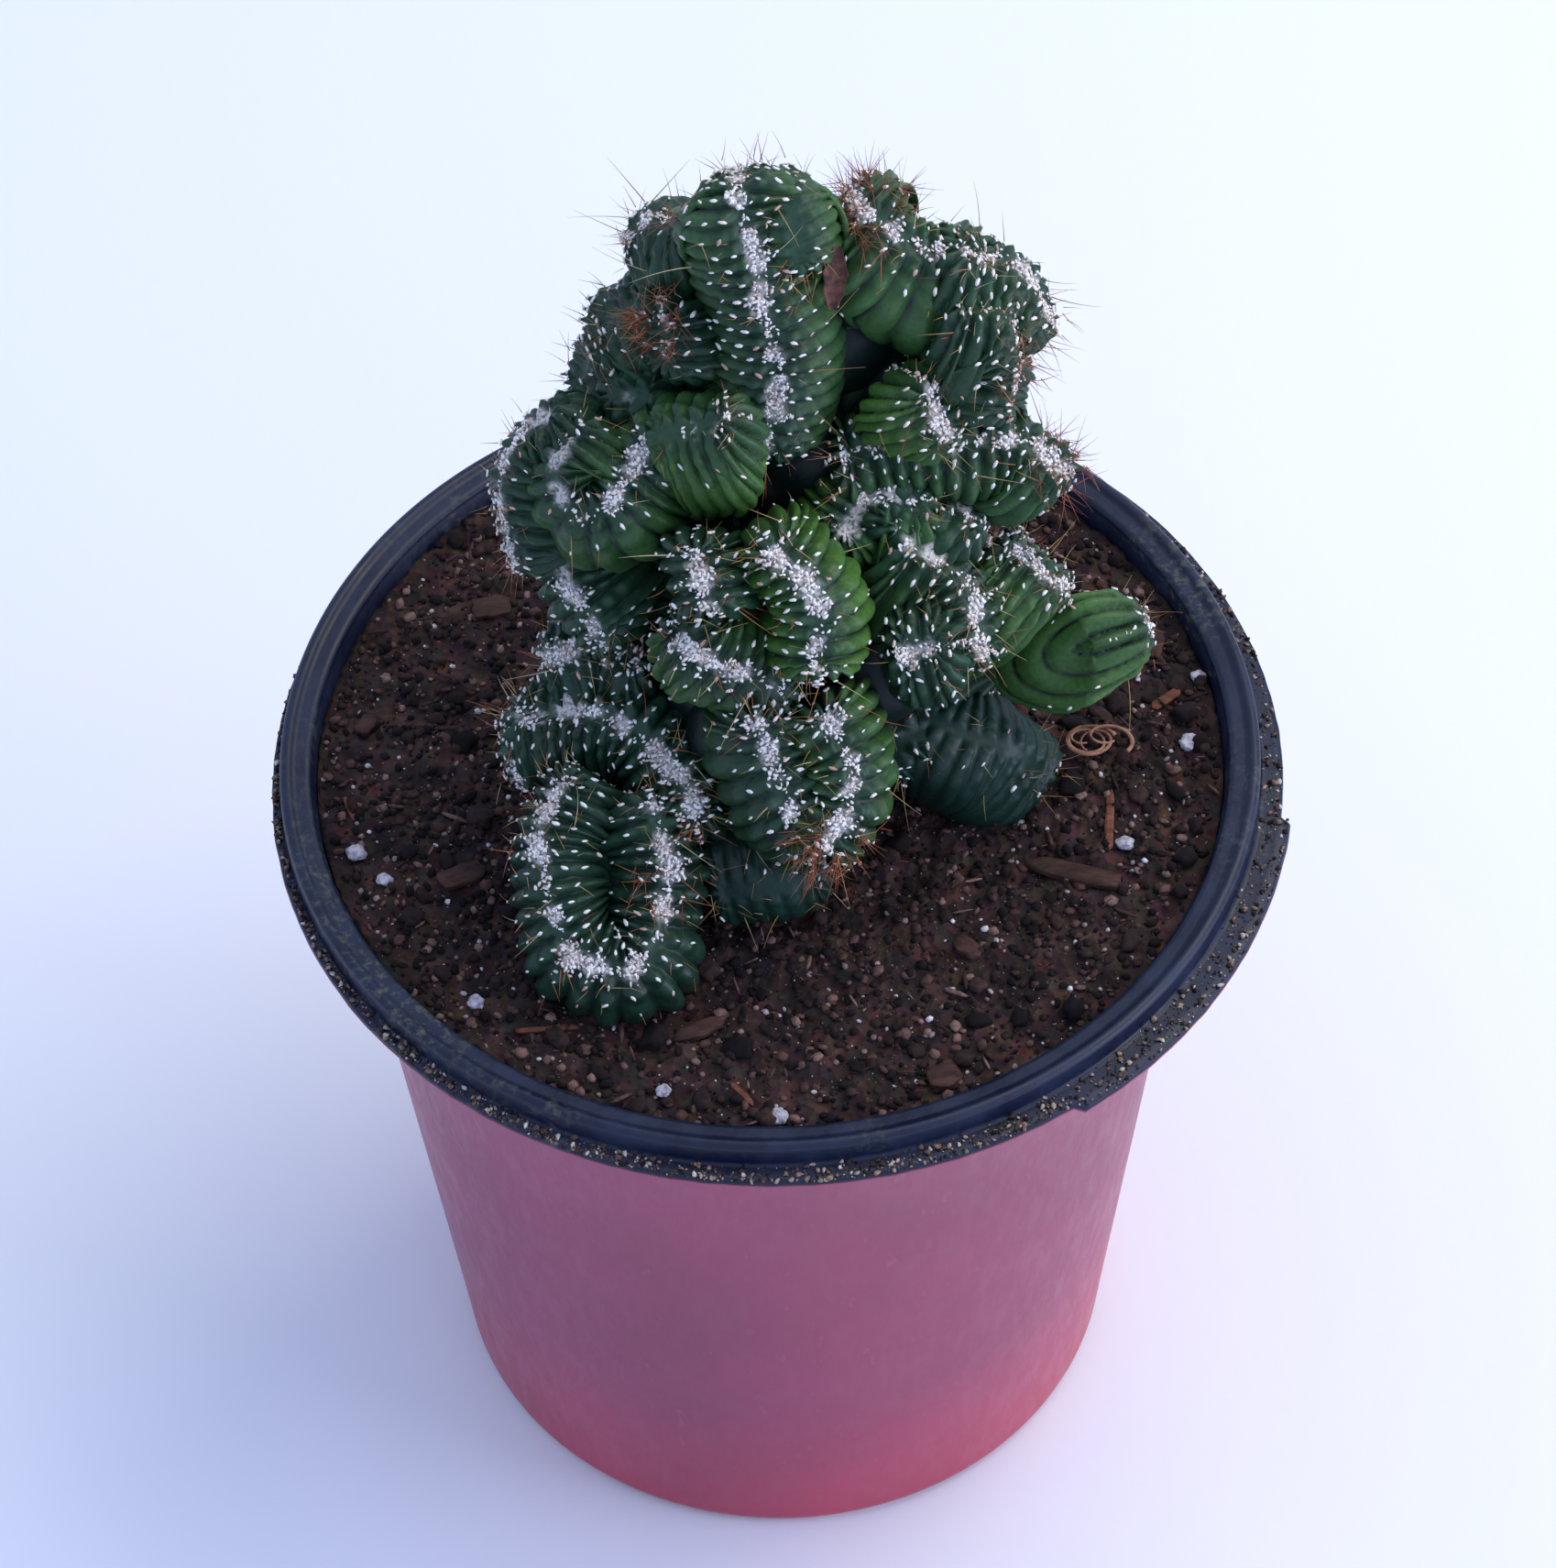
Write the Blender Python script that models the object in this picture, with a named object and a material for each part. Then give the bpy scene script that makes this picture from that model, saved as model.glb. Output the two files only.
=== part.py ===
"""A crested column cactus growing in a two-tone thermoformed nursery pot.

Frame: metres, +Z up. The origin is the centre of the circle that the pot stands on.
Sizes below are in millimetres and are turned to metres by MM.
"""

import math
import random

import bmesh
import bpy
from mathutils import Matrix, Vector

MM = 0.001

# ---- pot ----------------------------------------------------------------
POT_HEIGHT = 127.0          # floor to the top of the rim's flat flange
WALL = 1.0                  # sheet thickness
FLANGE_OUTER_R = 70.0       # outer edge of the flange, at its raised ridge
FLANGE_WIDTH = 4.6
SKIRT_DROP = 4.0            # how far the lip lies below the flange
LIP_REACH = 2.2             # how far the lip stands out past the flange
LIP_OFFSET = (1.0, -1.0)    # the trimming die's centre, off the pot's own centre
FLAP_REACH = 1.4            # extra lip left on by the die in one sector
FLAP_FROM_DEG = -56.0
FLAP_TO_DEG = -9.0
SHOULDER_DROP = 15.0        # from the flange down to the stacking shoulder
SHOULDER_HEIGHT = 4.0
SHOULDER_STEP = 3.2
UPPER_WALL_FLARE = 2.2      # how much the wall above the shoulder opens out
BASE_R = 49.0               # outside of the wall at the foot
FOOT_HEIGHT = 4.0           # how far the pot's floor is above what it stands on
FOOT_WIDTH = 5.0
CORNER = 3.0                # fillet between wall and foot
PAD_R = 12.0                # flat middle of the floor, which also touches the ground
FOOT_ARCHES = 8
ARCH_WIDTH = 15.0
ARCH_HEIGHT = 0.6
DRAIN_HOLES = 6
DRAIN_HOLE_R = 4.0
DRAIN_RING_R = 30.0
ROUND_SEGMENTS = 72

# ---- potting mix --------------------------------------------------------
SOIL_BELOW_FLANGE = 4.0
SOIL_CROWN = 1.0            # how much higher the mix is in the middle
GAP = 0.3                   # clearance between pieces that rest on each other
SOIL_Z = POT_HEIGHT - SOIL_BELOW_FLANGE
SOIL_SEGMENTS = 48

# ---- cactus -------------------------------------------------------------
ROOT_CENTRE = (6.0, -4.0)
ROOT_TOP_R = 13.0
ROOT_TIP_R = 6.0
ROOT_DEPTH = 30.0
ROOT_OVERLAP = 6.0
ROOT_SEGMENTS = 16
FOLD_SIDES = 12
FOLD_RINGS = 14
CAP_SHARE = 0.75            # share of a fold's rings that lie along its ridge
CAP_LENGTH = 0.5            # length of its rounded ends, in half widths
BODY_VOXEL = 1.5            # how finely the grown-together folds are blended
KEPT_SHARE = 0.27           # share of the blended surface's faces that is kept

# Each fold of the crest: half width, depth from ridge to root, the point that it
# grows out from, and the points its ridge runs through. The origin of these
# points is the centre of the flange's top.
FOLDS = {
    "tall_column": (9.0, 20, (1, 24, 58), (
        (-2, 29, 88), (-2, 26, 95), (-2, 20, 102), (-2, 15, 98),
        (0, 12, 89), (2, 8, 79), (2, 6, 70), (1, 5, 62))),
    "tall_column_shoulder": (7, 18, (2, 24, 70), ((1, 27, 92), (2, 20, 100), (3, 16, 99), (4, 13, 91))),
    "top_left_lobe": (8, 20, (-10, 29, 60), ((-17, 28, 80), (-14, 26, 85), (-11, 24, 86))),
    "back_left_upper": (8, 16, (-8, 26, 52), ((-13, 22, 74), (-17, 21, 74), (-22, 22, 68))),
    "back_left_lower": (8, 16, (-8, 22, 48), ((-22, 21, 66), (-26, 20, 58))),
    "left_knob_upper": (6.5, 13, (-4, 20, 60), ((-13, 14, 77), (-13, 11, 72))),
    "left_knob_lower": (5.5, 11, (-8, 18, 52), ((-20, 13, 64), (-16, 10, 66))),
    "brain_outer_left": (6.5, 16, (-14, 8, 34), (
        (-35, 1, 42), (-36, 2, 44), (-36, 6, 52), (-34, 9, 60), (-29, 9, 64))),
    "brain_fold": (7.5, 19, (-14, 10, 40), (
        (-26, 6, 64), (-29, 2, 61), (-27, -2, 57), (-22, -3, 58), (-18, 0, 62), (-13, 2, 67), (-6, 1, 71))),
    "brain_right_flank": (8, 20, (-8, 9, 44), ((-13, 2, 67), (-6, 1, 70))),
    "left_low_lobe": (8, 18, (-8, 4, 22), ((-29, 1, 44), (-27, -4, 40), (-23, -7, 36))),
    "left_low_shoulder": (7.5, 16, (-8, 0, 12), ((-30, -5, 28), (-24, -6, 31), (-19, -8, 31))),
    "front_upper_left": (6.6, 17, (-4, 4, 38), ((-9, -12, 58), (-8, -16, 54))),
    "front_mid_left": (8, 20, (-2, 2, 26), ((-12, -16, 48), (-9, -20, 46), (-3, -21, 42), (1, -21, 40))),
    "front_mid_right": (8.2, 22, (2, 4, 30), ((2, -13, 59), (6, -16, 55), (7, -19, 50), (7, -22, 46))),
    "front_low_left": (8, 20, (0, -2, 8), ((-1, -24, 35), (0, -27, 30), (3, -31, 25), (7, -33, 20))),
    "front_low_right": (8, 20, (4, -2, 10), ((8, -23, 35), (11, -27, 31), (11, -30, 25), (8, -34, 21))),
    "loop_fold": (7.4, 17, (-21, -30, 2), (
        (-29, -22, 22), (-32, -28, 19), (-32, -35, 15), (-30, -40, 11), (-26, -43, 8), (-20, -44, 7),
        (-16, -40, 9), (-15, -35, 13), (-15, -31, 17), (-16, -27, 20))),
    "left_mid_fold": (7.5, 16, (-14, -8, 6), (
        (-34, -10, 22), (-27, -12, 25), (-19, -16, 26), (-13, -21, 22), (-11, -26, 19))),
    "left_mid_outer": (7, 14, (-20, -6, 6), ((-36, -10, 18), (-35, -13, 13))),
    "low_front_lobe": (7, 12, (0, -20, 2), ((-7, -31, 7), (1, -31, 9), (5, -30, 10))),
    "right_inner_shelf": (7, 16, (8, 8, 36), ((11, -2, 51), (15, 1, 54), (21, 1, 53))),
    "right_shoulder": (7.5, 18, (12, 6, 34), ((19, -2, 51), (25, 4, 52), (29, 2, 49))),
    "right_mid_fold": (7.5, 20, (14, 0, 24), ((21, -4, 49), (26, -6, 46), (29, -10, 42), (30, -13, 38))),
    "right_outer_lobe": (8.5, 22, (20, 0, 14), ((35, 1, 40), (40, -3, 36), (43, -3, 33))),
    "right_tip": (7.5, 24, (24, 0, 12), ((44, 3, 29), (48, 2, 28), (52, 0, 24), (51, -3, 21))),
    "centre_right_knob": (8.5, 18, (12, 0, 18), ((17, -16, 41), (22, -16, 42), (25, -14, 42))),
    "right_low_stem": (9, 22, (20, 4, -10), ((26, -9, 14), (34, -9, 10), (39, -8, 3))),
    "upper_right_crown": (8.5, 20, (18, 26, 60), (
        (13, 25, 86), (15, 22, 91), (18, 21, 89), (20, 20, 85), (24, 20, 82), (29, 20, 81))),
    "upper_right_end": (8, 20, (22, 22, 54), ((29, 21, 82), (34, 22, 79), (39, 22, 73), (40, 21, 69))),
    "upper_right_second": (7.5, 18, (20, 16, 50), ((29, 15, 77), (34, 15, 75), (36, 14, 67), (35, 11, 61))),
    "upper_right_inner": (7.5, 18, (16, 16, 50), ((21, 11, 70), (24, 7, 66), (26, 6, 62))),
    "upper_right_shelf": (6.5, 14, (20, 14, 44), (
        (12, 5, 59), (19, 6, 60), (29, 6, 60), (36, 7, 58), (41, 6, 53))),
}
# Rounded flesh that the folds are grown together in: centre and radius.
CORES = [
    ((2, 0, 4), 15), ((-10, -8, 8), 11), ((14, -2, 12), 12), ((-3, 4, 28), 11), ((10, 6, 34), 11),
    ((-12, 10, 42), 8), ((6, 15, 48), 10), ((20, 19, 56), 8), ((-8, 20, 60), 8), ((3, 23, 74), 8),
    ((22, 23, 68), 7), ((-18, -27, 3), 9), ((2, -16, 10), 10), ((-6, 25, 74), 7), ((26, 2, 16), 9),
    ((-20, -6, 8), 8), ((2, 23, 84), 8), ((2, 6, 16), 14), ((2, 13, 30), 12), ((0, 20, 60), 9),
    ((11, 23, 64), 9), ((14, 22, 76), 7), ((-8, -6, 24), 8), ((-4, -14, 22), 8), ((14, -6, 26), 9),
]

# ---- loose pieces lying on the mix --------------------------------------
# name: (x, y) of its middle, length, width, thickness, turn in degrees
BARK_CHIPS = {
    "bark_chip_left": (-44, -19, 7.0, 5.5, 2.2, 20),
    "bark_chip_far_left": (-58, 9, 5.0, 4.0, 1.8, 60),
    "bark_chip_front": (-11, -47, 9.5, 4.5, 1.8, 25),
    "bark_chip_right": (43, -22, 15.0, 6.5, 2.4, -18),
    "bark_chip_right_back": (50, 25, 5.5, 4.5, 2.0, 40),
    "bark_chip_front_right": (23, -56, 6.5, 5.0, 2.0, 30),
    "bark_chip_back": (56, 20, 6.0, 3.5, 1.6, 75),
    "bark_chip_mid_right": (27, -34, 6.0, 4.0, 1.8, -50),
    "bark_chip_back_left": (-40, 30, 6.5, 5.0, 1.8, 10),
}
WOOD_SPLINTERS = {
    "wood_splinter_front": (-32, -46, 8.5, 1.5, 1.0, 4),
    "wood_splinter_front_right": (-5, -58, 5.5, 1.1, 0.9, -52),
    "wood_splinter_right": (57, 10, 7.0, 1.4, 1.0, 38),
    "wood_splinter_far_right": (48, -12, 11.0, 1.8, 1.0, 86),
    "wood_splinter_left": (-60, -6, 4.5, 1.2, 0.9, -70),
}
PERLITE_GRAINS = {
    "perlite_grain_left": (-59, -14, 3.0),
    "perlite_grain_left_low": (-55, -19, 2.2),
    "perlite_grain_front_left": (-42, -41, 2.4),
    "perlite_grain_front": (0, -62, 3.0),
    "perlite_grain_front_low": (-16, -57, 2.2),
    "perlite_grain_right": (60, 2, 3.2),
    "perlite_grain_right_back": (62, 14, 2.4),
    "perlite_grain_right_front": (50, -16, 2.6),
}
GRAIN_SINK = 0.25           # share of a grain's size that sits in its dimple
FIBRE_AT = (47.5, 0.5)      # a dried strand of root: middle of its curl
FIBRE_R = 0.45
FIBRE_SIDES = 6
FIBRE_CURL_R = 4.0
FIBRE_TURN_DEG = 520.0
FIBRE_RISE = 2.5


def clear_scene():
    """Removes whatever the scene holds."""
    for obj in list(bpy.data.objects):
        bpy.data.objects.remove(obj, do_unlink=True)


def material(name, colour, roughness, metallic=0.0):
    """A plain Principled BSDF."""
    made = bpy.data.materials.new(name)
    made.use_nodes = True
    shader = made.node_tree.nodes["Principled BSDF"]
    shader.inputs["Base Color"].default_value = (*colour, 1.0)
    shader.inputs["Roughness"].default_value = roughness
    shader.inputs["Metallic"].default_value = metallic
    return made


def object_from(bm, name, finish=None, smooth_deg=None):
    """Turns a bmesh in millimetres into a linked object in metres."""
    bmesh.ops.transform(bm, matrix=Matrix.Scale(MM, 4), verts=bm.verts)
    bmesh.ops.recalc_face_normals(bm, faces=bm.faces)
    mesh = bpy.data.meshes.new(name)
    bm.to_mesh(mesh)
    bm.free()
    if smooth_deg is not None:
        mesh.shade_smooth()
        mesh.set_sharp_from_angle(angle=math.radians(smooth_deg))
    obj = bpy.data.objects.new(name, mesh)
    bpy.context.scene.collection.objects.link(obj)
    if finish:
        mesh.materials.append(finish)
    return obj


def cutter(bm, name):
    """A helper that only Booleans see."""
    obj = object_from(bm, name)
    obj.hide_render = True
    obj.display_type = "WIRE"
    return obj


def boolean(obj, other, operation):
    modifier = obj.modifiers.new(operation.title() + "_" + other.name, "BOOLEAN")
    modifier.operation = operation
    modifier.object = other
    modifier.solver = "EXACT"


def turned(profile, segments):
    """A bmesh made by turning a closed (radius, height) outline about Z."""
    bm = bmesh.new()
    verts = [bm.verts.new((r, 0.0, z)) for r, z in profile]
    edges = [bm.edges.new((a, b)) for a, b in zip(verts, verts[1:] + verts[:1])]
    bmesh.ops.spin(
        bm, geom=verts + edges, cent=(0, 0, 0), axis=(0, 0, 1),
        angle=2 * math.pi, steps=segments, use_merge=True, use_duplicate=False,
    )
    bmesh.ops.remove_doubles(bm, verts=bm.verts, dist=1e-4)
    return bm


def arc(centre, radius, from_deg, to_deg, steps):
    """Points on an arc, for rounded corners of an outline."""
    out = []
    for i in range(steps + 1):
        a = math.radians(from_deg + (to_deg - from_deg) * i / steps)
        out.append((centre[0] + radius * math.cos(a), centre[1] + radius * math.sin(a)))
    return out


# ---- pot ----------------------------------------------------------------
FLANGE_INNER_R = FLANGE_OUTER_R - FLANGE_WIDTH
SHOULDER_TOP_Z = POT_HEIGHT - SHOULDER_DROP
SHOULDER_LOW_Z = SHOULDER_TOP_Z - SHOULDER_HEIGHT
SHOULDER_OUTER_R = FLANGE_INNER_R + WALL - UPPER_WALL_FLARE
LOWER_WALL_TOP_R = SHOULDER_OUTER_R - SHOULDER_STEP
WALL_SLOPE = (LOWER_WALL_TOP_R - BASE_R) / (SHOULDER_LOW_Z - CORNER)


def wall_radius(z):
    """Outside radius of the tapered lower wall at height z."""
    return BASE_R + WALL_SLOPE * (z - CORNER)


def pot_profile():
    """Closed outline of the sheet: down the outside, in along the base, up the inside."""
    top = POT_HEIGHT
    lip_z = top - SKIRT_DROP
    lip_r = FLANGE_OUTER_R + LIP_REACH + FLAP_REACH + 3.0
    foot_inner_r = BASE_R - FOOT_WIDTH
    outside = [
        (FLANGE_OUTER_R - 0.5, top),
        (FLANGE_OUTER_R, top - 0.5),
        (FLANGE_OUTER_R, lip_z),
        (lip_r, lip_z),
        (lip_r, lip_z - WALL),
        (FLANGE_OUTER_R - WALL, lip_z - WALL),
        (FLANGE_OUTER_R - WALL, top - WALL),
        (FLANGE_INNER_R + WALL, top - WALL),
        (SHOULDER_OUTER_R, SHOULDER_TOP_Z),
        (LOWER_WALL_TOP_R, SHOULDER_LOW_Z),
    ]
    outside += arc((BASE_R - CORNER, CORNER), CORNER, 0, -90, 4)
    base = [
        (foot_inner_r, 0.0),
        (foot_inner_r - 1.0, FOOT_HEIGHT - WALL),
        (PAD_R + 2.0, FOOT_HEIGHT - WALL),
        (PAD_R, 0.0),
        (0.0, 0.0),
        (0.0, WALL),
        (PAD_R - 0.8, WALL),
        (PAD_R + 1.2, FOOT_HEIGHT),
        (foot_inner_r, FOOT_HEIGHT),
        (foot_inner_r + 1.0, WALL),
    ]
    inside = arc((BASE_R - CORNER, CORNER), CORNER - WALL, -90, 0, 3)
    inside += [
        (LOWER_WALL_TOP_R - WALL, SHOULDER_LOW_Z),
        (SHOULDER_OUTER_R - WALL, SHOULDER_TOP_Z),
        (FLANGE_INNER_R, top - 0.4),
        (FLANGE_INNER_R + 0.4, top),
    ]
    return outside + base + inside


def trimming_die():
    """The outline the lip is punched to, as a tall solid that keeps what lies inside it."""
    bm = bmesh.new()
    steps = 180
    verts = []
    for i in range(steps):
        deg = -180 + 360 * i / steps
        reach = FLAP_REACH if FLAP_FROM_DEG < deg < FLAP_TO_DEG else 0.0
        r = FLANGE_OUTER_R + LIP_REACH + reach
        a = math.radians(deg)
        verts.append(bm.verts.new((r * math.cos(a), r * math.sin(a), -5.0)))
    face = bm.faces.new(verts)
    made = bmesh.ops.extrude_face_region(bm, geom=[face])
    moved = [v for v in made["geom"] if isinstance(v, bmesh.types.BMVert)]
    bmesh.ops.translate(bm, verts=moved, vec=(0, 0, POT_HEIGHT + 10))
    bmesh.ops.translate(bm, verts=bm.verts, vec=(*LIP_OFFSET, 0))
    return cutter(bm, "trimming_die")


def foot_and_drain_cutters():
    """Arches that lift the foot ring between its feet, and the holes in the floor."""
    bm = bmesh.new()
    for i in range(FOOT_ARCHES):
        turn = Matrix.Rotation(2 * math.pi * (i + 0.5) / FOOT_ARCHES, 4, "Z")
        size = Matrix.Diagonal((FOOT_WIDTH * 4, ARCH_WIDTH, 2 * ARCH_HEIGHT, 1))
        place = turn @ Matrix.Translation((BASE_R, 0, 0)) @ size
        bmesh.ops.create_cube(bm, size=1.0, matrix=place)
    arches = cutter(bm, "foot_arches")
    bm = bmesh.new()
    for i in range(DRAIN_HOLES):
        turn = Matrix.Rotation(2 * math.pi * i / DRAIN_HOLES, 4, "Z")
        place = turn @ Matrix.Translation((DRAIN_RING_R, 0, FOOT_HEIGHT))
        bmesh.ops.create_cone(
            bm, cap_ends=True, segments=20, radius1=DRAIN_HOLE_R, radius2=DRAIN_HOLE_R,
            depth=FOOT_HEIGHT * 3, matrix=place,
        )
    return arches, cutter(bm, "drain_holes")


def make_pot():
    finish = material("twin_layer_polypropylene", (0.42, 0.06, 0.07), 0.35)
    pot = object_from(turned(pot_profile(), ROUND_SEGMENTS), "pot", finish, 35)
    boolean(pot, trimming_die(), "INTERSECT")
    arches, holes = foot_and_drain_cutters()
    boolean(pot, arches, "DIFFERENCE")
    boolean(pot, holes, "DIFFERENCE")


# ---- potting mix --------------------------------------------------------
def soil_top(x, y):
    """Height of the mix's gently crowned surface."""
    share = min(1.0, math.hypot(x, y) / FLANGE_INNER_R)
    return SOIL_Z + SOIL_CROWN * (1 - share * share)


def soil_profile():
    """Fills the pot to SOIL_BELOW_FLANGE, GAP clear of the sheet all round."""
    inner = -WALL - GAP
    low_z = FOOT_HEIGHT + GAP
    bottom_r = wall_radius(low_z) + inner - 0.2
    flare = (FLANGE_INNER_R + WALL - SHOULDER_OUTER_R) / SHOULDER_DROP
    top_r = SHOULDER_OUTER_R + inner + flare * (SOIL_Z - SHOULDER_TOP_Z) - 0.15
    outline = [
        (0.0, low_z),
        (bottom_r - 1.0, low_z),
        (bottom_r + WALL_SLOPE, low_z + 1.0),
        (LOWER_WALL_TOP_R + inner - 0.1, SHOULDER_LOW_Z),
        (SHOULDER_OUTER_R + inner - 0.1, SHOULDER_TOP_Z + GAP),
        (top_r, SOIL_Z),
    ]
    rings = 6
    for i in range(1, rings + 1):
        r = top_r * (1 - i / rings)
        outline.append((r, soil_top(r, 0)))
    return outline


def root_shape(clearance, name):
    """The underground root crown, or its socket when clearance is above 0."""
    bm = bmesh.new()
    depth = ROOT_DEPTH + ROOT_OVERLAP + clearance
    place = Matrix.Translation((*ROOT_CENTRE, SOIL_Z + ROOT_OVERLAP - depth / 2))
    bmesh.ops.create_cone(
        bm, cap_ends=True, segments=ROOT_SEGMENTS, depth=depth, matrix=place,
        radius1=ROOT_TIP_R + clearance, radius2=ROOT_TOP_R + clearance,
    )
    return cutter(bm, name)


def make_soil():
    finish = material("peat_and_perlite_mix", (0.045, 0.028, 0.024), 0.95)
    soil = object_from(turned(soil_profile(), SOIL_SEGMENTS), "potting_mix", finish, 40)
    boolean(soil, root_shape(GAP * 1.5, "root_socket"), "DIFFERENCE")
    bm = bmesh.new()
    for x, y, size in PERLITE_GRAINS.values():
        place = Matrix.Translation((x, y, soil_top(x, y)))
        depth = Matrix.Diagonal((size * 1.4, size * 1.4, 2 * GRAIN_SINK * size, 1))
        bmesh.ops.create_cube(bm, size=1.0, matrix=place @ depth)
    boolean(soil, cutter(bm, "grain_dimples"), "DIFFERENCE")


# ---- cactus -------------------------------------------------------------
def curve_point(points, t):
    """Position at t (0 to 1) on a smooth Catmull-Rom curve through the points."""
    spans = len(points) - 1
    i = min(int(t * spans), spans - 1)
    u = t * spans - i
    p1, p2 = Vector(points[i]), Vector(points[i + 1])
    p0 = Vector(points[i - 1]) if i > 0 else 2 * p1 - p2
    p3 = Vector(points[i + 2]) if i + 2 <= spans else 2 * p2 - p1
    return 0.5 * (
        2 * p1 + (p2 - p0) * u + (2 * p0 - 5 * p1 + 4 * p2 - p3) * u * u
        + (3 * p1 - p0 - 3 * p2 + p3) * u ** 3
    )


def add_fold(bm, half_width, depth, root, ridge):
    """Bends a ball along the ridge: full section along the ridge itself, a rounded cap past each end."""
    ball = bmesh.ops.create_uvsphere(bm, u_segments=FOLD_SIDES, v_segments=FOLD_RINGS, radius=1.0)
    root = Vector(root)
    for vert in ball["verts"]:
        share = 1 - 2 * math.acos(max(-1.0, min(1.0, vert.co.z))) / math.pi
        past = max(0.0, abs(share) - CAP_SHARE) / (1 - CAP_SHARE)
        t = (max(-1.0, min(1.0, share / CAP_SHARE)) + 1) / 2
        ridge_point = curve_point(ridge, t)
        step = curve_point(ridge, min(t + 0.02, 1.0)) - curve_point(ridge, max(t - 0.02, 0.0))
        tangent = step.normalized()
        outward = ridge_point - root
        outward = (outward - tangent * outward.dot(tangent)).normalized()
        side = tangent.cross(outward)
        around = math.hypot(vert.co.x, vert.co.y)
        across, height = (vert.co.x / around, vert.co.y / around) if around > 1e-6 else (0.0, 0.0)
        closing = math.sqrt(max(0.0, 1 - past * past))
        cap = tangent * math.copysign(CAP_LENGTH * half_width * past, share)
        middle = ridge_point - outward * depth * (0.5 - 0.15 * past)
        vert.co = middle + cap + closing * (side * half_width * across + outward * depth / 2 * height)


def largest_island(bm):
    """Deletes every patch of connected faces but the largest, which is the outer skin."""
    unseen = set(bm.faces)
    islands = []
    while unseen:
        island = {unseen.pop()}
        to_visit = list(island)
        while to_visit:
            face = to_visit.pop()
            for edge in face.edges:
                for other in edge.link_faces:
                    if other in unseen:
                        unseen.remove(other)
                        island.add(other)
                        to_visit.append(other)
        islands.append(island)
    islands.sort(key=len)
    hidden = [face for island in islands[:-1] for face in island]
    bmesh.ops.delete(bm, geom=hidden, context="FACES")
    loose = [vert for vert in bm.verts if not vert.link_faces]
    bmesh.ops.delete(bm, geom=loose, context="VERTS")


def grow_together(obj):
    """Blends the overlapping folds into one skin with no cavity inside it."""
    blend = obj.modifiers.new("grown_together", "REMESH")
    blend.mode = "VOXEL"
    blend.voxel_size = BODY_VOXEL * MM
    blend.use_smooth_shade = True
    thin_out = obj.modifiers.new("fewer_faces", "DECIMATE")
    thin_out.ratio = KEPT_SHARE
    graph = bpy.context.evaluated_depsgraph_get()
    bm = bmesh.new()
    bm.from_object(obj, graph)
    largest_island(bm)
    obj.modifiers.clear()
    bm.to_mesh(obj.data)
    bm.free()


def make_cactus():
    finish = material("cactus_skin", (0.035, 0.12, 0.03), 0.45)
    bm = bmesh.new()
    for half_width, depth, root, ridge in FOLDS.values():
        add_fold(bm, half_width, depth, root, ridge)
    for centre, radius in CORES:
        place = Matrix.Translation(centre)
        bmesh.ops.create_icosphere(bm, subdivisions=2, radius=radius, matrix=place)
    bmesh.ops.translate(bm, verts=bm.verts, vec=(0, 0, POT_HEIGHT))
    cactus = object_from(bm, "cactus", finish, 180)
    grow_together(cactus)
    slab = bmesh.new()
    slab_depth = 60.0
    top = SOIL_Z + SOIL_CROWN + GAP
    place = Matrix.Translation((0, 0, top - slab_depth / 2)) @ Matrix.Diagonal((200, 200, slab_depth, 1))
    bmesh.ops.create_cube(slab, size=1.0, matrix=place)
    boolean(cactus, cutter(slab, "ground_slab"), "DIFFERENCE")
    boolean(cactus, root_shape(0.0, "root_crown"), "UNION")


# ---- loose pieces -------------------------------------------------------
def rough_block(name, finish, x, y, size, turn_deg, seed, sink=0.0):
    """A small faceted lump: a ball scaled to size, knocked about and laid GAP above the mix, or sunk."""
    rng = random.Random(seed)
    bm = bmesh.new()
    bmesh.ops.create_icosphere(bm, subdivisions=2, radius=0.5)
    for vert in bm.verts:
        vert.co = vert.co * (1 + rng.uniform(-0.16, 0.12))
        vert.co.z = max(-0.36, min(0.36, vert.co.z))
    scale = Matrix.Diagonal((*size, 1))
    turn = Matrix.Rotation(math.radians(turn_deg), 4, "Z")
    bmesh.ops.transform(bm, matrix=turn @ scale, verts=bm.verts)
    low = min(v.co.z for v in bm.verts)
    nearest = max(0.0, math.hypot(x, y) - max(size) / 2)
    rest_z = soil_top(nearest, 0) - sink + GAP
    bmesh.ops.translate(bm, verts=bm.verts, vec=(x, y, rest_z - low))
    return object_from(bm, name, finish)


def make_fibre(finish):
    """A dried strand that lies curled on the mix beside the low stem."""
    bm = bmesh.new()
    steps = 26
    rings = []
    for i in range(steps + 1):
        turn = math.radians(FIBRE_TURN_DEG * i / steps)
        reach = FIBRE_CURL_R * (1 - 0.55 * i / steps)
        middle = Vector((
            FIBRE_AT[0] + reach * math.cos(turn), FIBRE_AT[1] + reach * math.sin(turn),
            SOIL_Z + SOIL_CROWN + FIBRE_R + GAP + FIBRE_RISE * i / steps,
        ))
        outward = Vector((math.cos(turn), math.sin(turn), 0.0))
        rings.append([
            bm.verts.new(middle + FIBRE_R * (outward * math.cos(a) + Vector((0, 0, 1)) * math.sin(a)))
            for a in (2 * math.pi * k / FIBRE_SIDES for k in range(FIBRE_SIDES))
        ])
    for low, high in zip(rings, rings[1:]):
        for k in range(FIBRE_SIDES):
            j = (k + 1) % FIBRE_SIDES
            bm.faces.new((low[k], low[j], high[j], high[k]))
    bm.faces.new(rings[0])
    bm.faces.new(rings[-1])
    object_from(bm, "dried_fibre", finish, 50)


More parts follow.
